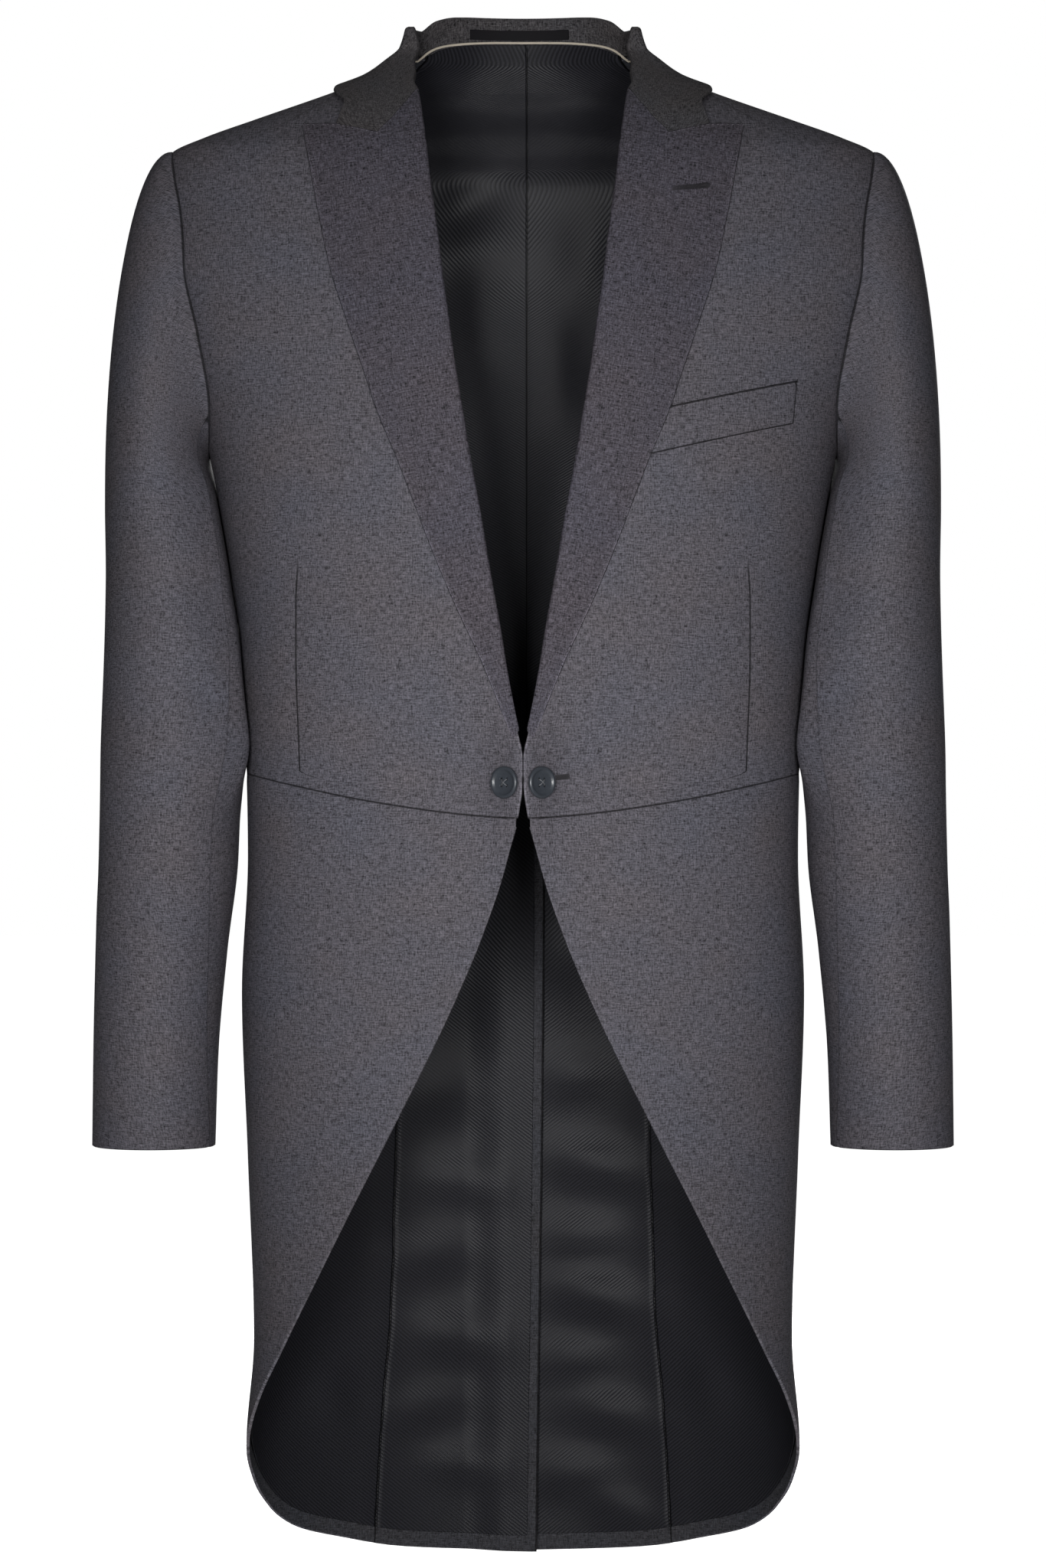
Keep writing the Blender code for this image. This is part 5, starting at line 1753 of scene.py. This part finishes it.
@dataclass
class Patch:
    """A flat set of axes on the cloth: a middle, the outward direction, across and up."""

    middle: Array
    normal: Array
    across: Array
    up: Array

    @classmethod
    def on_front(cls, x: float, z: float, side: Side) -> "Patch":
        """The axes square to the front of the form at (x, z)."""
        g = FORM.front_place(x, z)
        flip = np.array([side.value, 1.0, 1.0])
        normal = FORM.normal(g, z) * flip
        across = unit(np.cross(np.array([0.0, 0.0, 1.0]), normal))
        return cls(FORM.point(g, z) * flip, normal, across, np.cross(normal, across))

    def place(self, across: Array, up: Array, height: Array) -> Array:
        """Points at the given distances across, up and out, in millimetres."""
        spread = [np.asarray(value, float)[..., None] for value in (across, up, height)]
        across, up, height = np.broadcast_arrays(*spread)
        return self.middle + self.across * across + self.up * up + self.normal * height


def revolved(name: str, profile: Table, sides: int, patch: Patch, shift: Sequence[float],
             finish: Finish) -> bpy.types.Object:
    """A closed turned solid from a profile that starts and ends on its axis.

    Args:
        name: Name of the object.
        profile: Pairs of (radius, height), the first and last with radius 0.
        sides: Steps round it.
        patch: The axes it stands on.
        shift: Where its own axis lies, across and up.
        finish: Its finish.

    Returns:
        The new object.
    """
    turn = np.linspace(0, 2 * np.pi, sides, endpoint=False)
    rings = [patch.place(shift[0] + radius * np.cos(turn), shift[1] + radius * np.sin(turn),
                         height + 0 * turn)
             for radius, height in profile[1:-1]]
    ends = [patch.place(shift[0], shift[1], profile[k][1]).reshape(1, 3) for k in (0, -1)]
    verts = np.concatenate(rings + ends) * MM
    index = np.arange(len(rings) * sides).reshape(len(rings), sides)
    after = np.roll(index, -1, axis=1)
    quads = np.stack([index[:-1], after[:-1], after[1:], index[1:]], axis=-1).reshape(-1, 4).tolist()
    low, high = len(verts) - 2, len(verts) - 1
    caps = [[low, b, a] for a, b in zip(index[0].tolist(), after[0].tolist())]
    caps += [[high, a, b] for a, b in zip(index[-1].tolist(), after[-1].tolist())]
    return solid(name, verts, quads + caps, finish)


def baked(thing: bpy.types.Object) -> None:
    """Turn an object's modifiers into a plain mesh."""
    graph = bpy.context.evaluated_depsgraph_get()
    mesh = bpy.data.meshes.new_from_object(thing.evaluated_get(graph))
    thing.modifiers.clear()
    old = thing.data
    thing.data = mesh
    bpy.data.meshes.remove(old)
    mesh.name = thing.name


def build_button(side: Side) -> None:
    """One button with a turned rim, four drilled holes, its thread cross and its stem."""
    patch = Patch.on_front(BUTTON.centre, FORM.button_level, side)
    button = revolved("button_horn_" + side.word, BUTTON.profile, BUTTON.sides, patch, (0.0, 0.0),
                      Finish.BUTTON)
    spread = BUTTON.hole_spread
    corners = [(x * spread, z * spread) for x, z in ((-1, -1), (1, -1), (1, 1), (-1, 1))]
    drills = []
    for corner in corners:
        profile = ((0.0, 0.5), (BUTTON.hole_radius, 0.5), (BUTTON.hole_radius, 6.0), (0.0, 6.0))
        drill = revolved("drill", profile, 16, patch, corner, Finish.BUTTON)
        cut = button.modifiers.new("hole", "BOOLEAN")
        cut.operation = "DIFFERENCE"
        cut.object = drill
        cut.solver = "EXACT"
        drills.append(drill)
    baked(button)
    for drill in drills:
        bpy.data.objects.remove(drill, do_unlink=True)
    enlist(button, "button_" + side.word)
    for number, (start, end) in enumerate(((corners[0], corners[2]), (corners[1], corners[3]))):
        share = np.linspace(0, 1, 17)
        height = 2.2 + (1.9 + 0.35 * number) * np.sin(np.pi * share) ** 0.5
        line = patch.place(start[0] + (end[0] - start[0]) * share,
                           start[1] + (end[1] - start[1]) * share, height)
        thread = tube_object("button_thread_%s_%d" % (side.word, number), line, BUTTON.thread_radius, 8,
                             Finish.THREAD)
        enlist(thread)
    stem = revolved("button_stem_" + side.word, BUTTON.stem, 20, patch, (0.0, 0.0), Finish.THREAD)
    enlist(stem)


STITCH_JITTER = 0.06


def stitch_nodes() -> bpy.types.NodeTree:
    """A node group that sews small stitches along a line.

    Returns:
        The group, with inputs for spacing, length, thickness, turn and material.
    """
    group = bpy.data.node_groups.new("stitches", "GeometryNodeTree")
    face = group.interface
    face.new_socket("Geometry", in_out="INPUT", socket_type="NodeSocketGeometry")
    for name in ("Spacing", "Length", "Thickness", "Turn"):
        face.new_socket(name, in_out="INPUT", socket_type="NodeSocketFloat")
    face.new_socket("Seed", in_out="INPUT", socket_type="NodeSocketInt")
    face.new_socket("Material", in_out="INPUT", socket_type="NodeSocketMaterial")
    face.new_socket("Geometry", in_out="OUTPUT", socket_type="NodeSocketGeometry")
    nodes, links = group.nodes, group.links
    entry, leave = nodes.new("NodeGroupInput"), nodes.new("NodeGroupOutput")
    curve = nodes.new("GeometryNodeMeshToCurve")
    resample = nodes.new("GeometryNodeResampleCurve")
    resample.mode = "LENGTH"
    tangent = nodes.new("GeometryNodeInputTangent")
    up = nodes.new("GeometryNodeInputNamedAttribute")
    up.data_type = "FLOAT_VECTOR"
    up.inputs["Name"].default_value = "up"
    along = nodes.new("FunctionNodeAlignRotationToVector")
    along.axis = "X"
    upright = nodes.new("FunctionNodeAlignRotationToVector")
    upright.axis = "Z"
    upright.pivot_axis = "X"
    turn = nodes.new("FunctionNodeRotateRotation")
    turn.rotation_space = "LOCAL"
    angles = nodes.new("ShaderNodeCombineXYZ")
    jitter = nodes.new("FunctionNodeRandomValue")
    jitter.inputs[2].default_value = -STITCH_JITTER
    jitter.inputs[3].default_value = STITCH_JITTER
    wobble = nodes.new("ShaderNodeMath")
    wobble.operation = "ADD"
    body = nodes.new("GeometryNodeMeshUVSphere")
    body.inputs["Segments"].default_value = 8
    body.inputs["Rings"].default_value = 6
    body.inputs["Radius"].default_value = 0.5
    size = nodes.new("ShaderNodeCombineXYZ")
    scale = nodes.new("GeometryNodeTransform")
    instance = nodes.new("GeometryNodeInstanceOnPoints")
    real = nodes.new("GeometryNodeRealizeInstances")
    painted = nodes.new("GeometryNodeSetMaterial")
    joins = (
        (entry.outputs["Geometry"], curve.inputs[0]), (curve.outputs[0], resample.inputs["Curve"]),
        (entry.outputs["Spacing"], resample.inputs["Length"]), (tangent.outputs[0], along.inputs["Vector"]),
        (along.outputs[0], upright.inputs["Rotation"]), (up.outputs["Attribute"], upright.inputs["Vector"]),
        (entry.outputs["Seed"], jitter.inputs["Seed"]), (entry.outputs["Turn"], wobble.inputs[0]),
        (jitter.outputs[1], wobble.inputs[1]), (wobble.outputs[0], angles.inputs["Z"]),
        (upright.outputs[0], turn.inputs["Rotation"]), (angles.outputs[0], turn.inputs["Rotate By"]),
        (entry.outputs["Length"], size.inputs["X"]), (entry.outputs["Thickness"], size.inputs["Y"]),
        (entry.outputs["Thickness"], size.inputs["Z"]), (body.outputs[0], scale.inputs["Geometry"]),
        (size.outputs[0], scale.inputs["Scale"]), (resample.outputs[0], instance.inputs["Points"]),
        (scale.outputs[0], instance.inputs["Instance"]), (turn.outputs[0], instance.inputs["Rotation"]),
        (instance.outputs[0], real.inputs[0]), (real.outputs[0], painted.inputs["Geometry"]),
        (entry.outputs["Material"], painted.inputs["Material"]), (painted.outputs[0], leave.inputs[0]),
    )
    for start, end in joins:
        links.new(start, end)
    return group


@dataclass(frozen=True)
class Stitching:
    """How a row of stitches is sewn: sizes in millimetres and turn in degrees."""

    spacing: float
    length: float
    thickness: float
    turn: float
    finish: Finish
    seed: int = 3


PICK = Stitching(3.6, 1.5, 0.3, 0.0, Finish.STITCH)
WORKED = Stitching(0.62, 2.6, 0.62, 90.0, Finish.HOLE)


def sew(name: str, points: Array, ups: Array, stitching: Stitching) -> None:
    """Sew one row of stitches along a line, as a plain mesh.

    Args:
        name: Name of the piece.
        points: The line, in millimetres.
        ups: Directions out of the cloth along it.
        stitching: How it is sewn.
    """
    points = np.asarray(points, float)
    mesh = bpy.data.meshes.new(name)
    edges = [(k, k + 1) for k in range(len(points) - 1)]
    mesh.from_pydata((points * MM).tolist(), edges, [])
    layer = mesh.attributes.new(name="up", type="FLOAT_VECTOR", domain="POINT")
    layer.data.foreach_set("vector", np.asarray(ups, np.float32).ravel())
    piece = bpy.data.objects.new(name, mesh)
    bpy.context.scene.collection.objects.link(piece)
    group = bpy.data.node_groups.get("stitches") or stitch_nodes()
    sewn = piece.modifiers.new("sewn", "NODES")
    sewn.node_group = group
    values = {"Spacing": stitching.spacing * MM, "Length": stitching.length * MM,
              "Thickness": stitching.thickness * MM, "Turn": math.radians(stitching.turn),
              "Seed": stitching.seed, "Material": material_of(stitching.finish)}
    for socket in group.interface.items_tree:
        if socket.in_out == "INPUT" and socket.name in values:
            sewn[socket.identifier] = values[socket.name]
    piece.update_tag()
    baked(piece)
    enlist(piece)


def edge_line(surface: Surface, edge: str, inset: float, lift: float) -> tuple[Array, Array]:
    """A line just inside one edge of a surface.

    Args:
        surface: The piece's surface.
        edge: Which edge: top, bottom, inner or outer.
        inset: How far inside the edge, in millimetres.
        lift: How far out of the surface.

    Returns:
        The line's points and the outward directions along it.
    """
    first, second = {"top": (0, 1), "bottom": (-1, -2), "inner": (0, 1), "outer": (-1, -2)}[edge]
    if edge in ("top", "bottom"):
        rim, within, normals = surface.points[first], surface.points[second], surface.normals[first]
    else:
        rim, within, normals = surface.points[:, first], surface.points[:, second], surface.normals[:, first]
    return rim + unit(within - rim) * inset + normals * lift, normals


PICK_INSET = 1.3
PICK_LIFT = 0.05
LAPEL_HOLE = ((96.2, -106.2), (119.0, -103.7))
FRONT_HOLE = ((20.4, -487.6), (30.7, -486.6))
EYE_RADIUS = 1.3
HOLE_SPREAD = 0.75


def height_over_form(surface: Surface, x: float, z: float) -> float:
    """How far a surface stands out of the form at (x, z)."""
    distance = np.hypot(surface.points[..., 0] - x, surface.points[..., 2] - z)
    spot = np.unravel_index(np.argmin(distance), distance.shape)
    g = FORM.front_place(x, z)
    return float(np.dot(surface.points[spot] - FORM.point(g, surface.points[spot][2]), FORM.normal(g, z)))


def sew_buttonhole(name: str, ends: Sequence, height: float, eye: bool) -> None:
    """A worked buttonhole on the wearer's left: a slit drawn as a dark cord (painted shadow in the cut), a
    row of stitches on each lip, and an eye.

    Args:
        name: Name of its pieces.
        ends: The slit's two ends (x, z).
        height: How far the cloth under it stands out of the form.
        eye: Whether its outer end has a round eye.
    """
    (start_x, start_z), (end_x, end_z) = ends
    patch = Patch.on_front((start_x + end_x) / 2, (start_z + end_z) / 2, Side.LEFT)
    rise = math.atan2(end_z - start_z, end_x - start_x)
    half = math.hypot(end_x - start_x, end_z - start_z) / 2
    along = np.linspace(-half, half, 15)

    def turned(run: Array, off: Array, out: float) -> Array:
        """Points along and beside the slit, raised out of the form."""
        across = run * math.cos(rise) - off * math.sin(rise)
        up = run * math.sin(rise) + off * math.cos(rise)
        return patch.place(across, up, out + 0 * across)

    ups = np.tile(patch.normal, (len(along), 1))
    # the slit is a dark cord over the cloth: painted shadow in the cut between the lips
    slit = tube_object(name + "_slit", turned(along, 0 * along, height + 0.05), 0.3, 6, Finish.HOLE)
    enlist(slit)
    for word, sign in (("upper", 1), ("lower", -1)):
        side_line = turned(along, 0 * along + sign * HOLE_SPREAD, height + 0.12)
        sew("%s_%s" % (name, word), side_line, ups, WORKED)
    if eye:
        turn = np.linspace(0, 2 * np.pi, 25)
        ring = turned(half + EYE_RADIUS * np.cos(turn), EYE_RADIUS * np.sin(turn), height + 0.15)
        sew(name + "_eye", ring, np.tile(patch.normal, (len(turn), 1)), WORKED)


def build_stitching(lines: dict[str, Surface]) -> None:
    """Pick stitches along the edges, and the two worked buttonholes.

    Args:
        lines: The surfaces that the stitches follow, by name.
    """
    rows = (("lapel", "outer", "lapel"), ("lapel", "top", "lapel"), ("skirt", "bottom", "worsted"))
    for side in Side:
        flip = np.array([side.value, 1.0, 1.0])
        for name, edge, slot in rows:
            points, ups = edge_line(lines[name], edge, PICK_INSET, PICK_LIFT)
            sew("pick_%s_%s_%s" % (name, edge, side.word), points * flip, ups * flip, PICK)
        front = lines["forepart"]
        below = front.points[:, 0, 2] < FRONT_PICK_TOP
        points, ups = edge_line(front, "inner", PICK_INSET, PICK_LIFT)
        sew("pick_front_" + side.word, points[below] * flip, ups[below] * flip, PICK)
    points, ups = edge_line(lines["welt"], "top", PICK_INSET, PICK_LIFT)
    sew("pick_welt", points, ups, PICK)
    middle_x = (LAPEL_HOLE[0][0] + LAPEL_HOLE[1][0]) / 2
    middle_z = (LAPEL_HOLE[0][1] + LAPEL_HOLE[1][1]) / 2
    sew_buttonhole("lapel_buttonhole", LAPEL_HOLE, height_over_form(lines["lapel"], middle_x, middle_z), True)
    sew_buttonhole("front_buttonhole", FRONT_HOLE, 0.1, False)


@dataclass(frozen=True)
class Lamp:
    """One soft area light: where it stands, where it points, its size, power and fan in degrees."""

    name: str
    place: tuple[float, float, float]
    aim: tuple[float, float, float]
    size: float
    watts: float
    fan: float = 180.0


LAMPS = (
    Lamp("key_light", (-0.42, -2.7, -0.45), (0.0, 0.0, -0.45), 0.5, 3.0, 46.0),
    Lamp("fill_light", (0.42, -2.7, -0.5), (0.0, 0.0, -0.48), 0.5, 2.5, 46.0),
    Lamp("top_light", (0.0, 0.4, 1.7), (0.0, 0.0, -0.3), 1.2, 4.0),
    Lamp("back_light", (0.5, 3.4, 0.1), (0.0, 0.0, -0.5), 1.2, 45.0),
)
FLOOR_LEVEL = -1.1
SEEN_WORLD = 1.0
AMBIENT_WORLD = 0.07
FLOOR_GLOW = 1.0
FLOOR_SIZE = 40.0
CAMERA_PLACE = (0.0, -4.0, -0.4916)
CAMERA_LENS = 137.9
CAMERA_SENSOR = 36.0


def seen_level(tree: bpy.types.NodeTree, unseen: float, seen: float) -> bpy.types.NodeSocket:
    """A strength with one value where the camera sees the backdrop and another as a light."""
    rays = tree.nodes.new("ShaderNodeLightPath")
    level = tree.nodes.new("ShaderNodeMapRange")
    level.inputs["To Min"].default_value = unseen
    level.inputs["To Max"].default_value = seen
    tree.links.new(rays.outputs["Is Camera Ray"], level.inputs["Value"])
    return level.outputs[0]


def build_studio() -> None:
    """Pale floor, pale world, soft lamps and the camera of the photo."""
    bpy.ops.mesh.primitive_plane_add(size=FLOOR_SIZE, location=(0, 0, FLOOR_LEVEL))
    floor = bpy.context.object
    floor.name = "studio_floor"
    floor.data.materials.append(material_of(Finish.FLOOR))
    shader = floor.data.materials[0].node_tree.nodes["Principled BSDF"]
    shader.inputs["Emission Color"].default_value = (1.0, 1.0, 1.0, 1.0)
    tree = floor.data.materials[0].node_tree
    tree.links.new(seen_level(tree, 0.0, FLOOR_GLOW), shader.inputs["Emission Strength"])
    world = bpy.data.worlds.new("studio_world")
    world.use_nodes = True
    tree = world.node_tree
    background = tree.nodes["Background"]
    background.inputs["Color"].default_value = (1.0, 1.0, 1.0, 1.0)
    tree.links.new(seen_level(tree, AMBIENT_WORLD, SEEN_WORLD), background.inputs["Strength"])
    scene = bpy.context.scene
    scene.world = world
    for lamp in LAMPS:
        light = bpy.data.lights.new(lamp.name, "AREA")
        light.shape = "SQUARE"
        light.size = lamp.size
        light.spread = math.radians(lamp.fan)
        light.energy = lamp.watts
        holder = bpy.data.objects.new(lamp.name, light)
        holder.location = lamp.place
        aim = Vector(lamp.aim) - Vector(lamp.place)
        holder.rotation_euler = aim.to_track_quat("-Z", "Y").to_euler()
        scene.collection.objects.link(holder)
    camera = bpy.data.cameras.new("photo_camera")
    camera.lens = CAMERA_LENS
    camera.sensor_width = CAMERA_SENSOR
    holder = bpy.data.objects.new("photo_camera", camera)
    holder.location = CAMERA_PLACE
    holder.rotation_euler = (math.radians(90), 0.0, 0.0)
    scene.collection.objects.link(holder)
    scene.camera = holder
    scene.view_settings.view_transform = "Standard"


def main() -> None:
    """Build every piece, then the studio."""
    logging.basicConfig(level=logging.INFO, format="%(name)s: %(message)s")
    lines = build_shell()
    build_sleeves()
    lines.update(build_collar_and_lapels())
    lines["welt"] = build_welt()
    build_linings()
    build_piping()
    build_label()
    for side in Side:
        build_button(side)
    build_stitching(lines)
    build_studio()


if __name__ == "__main__":
    main()
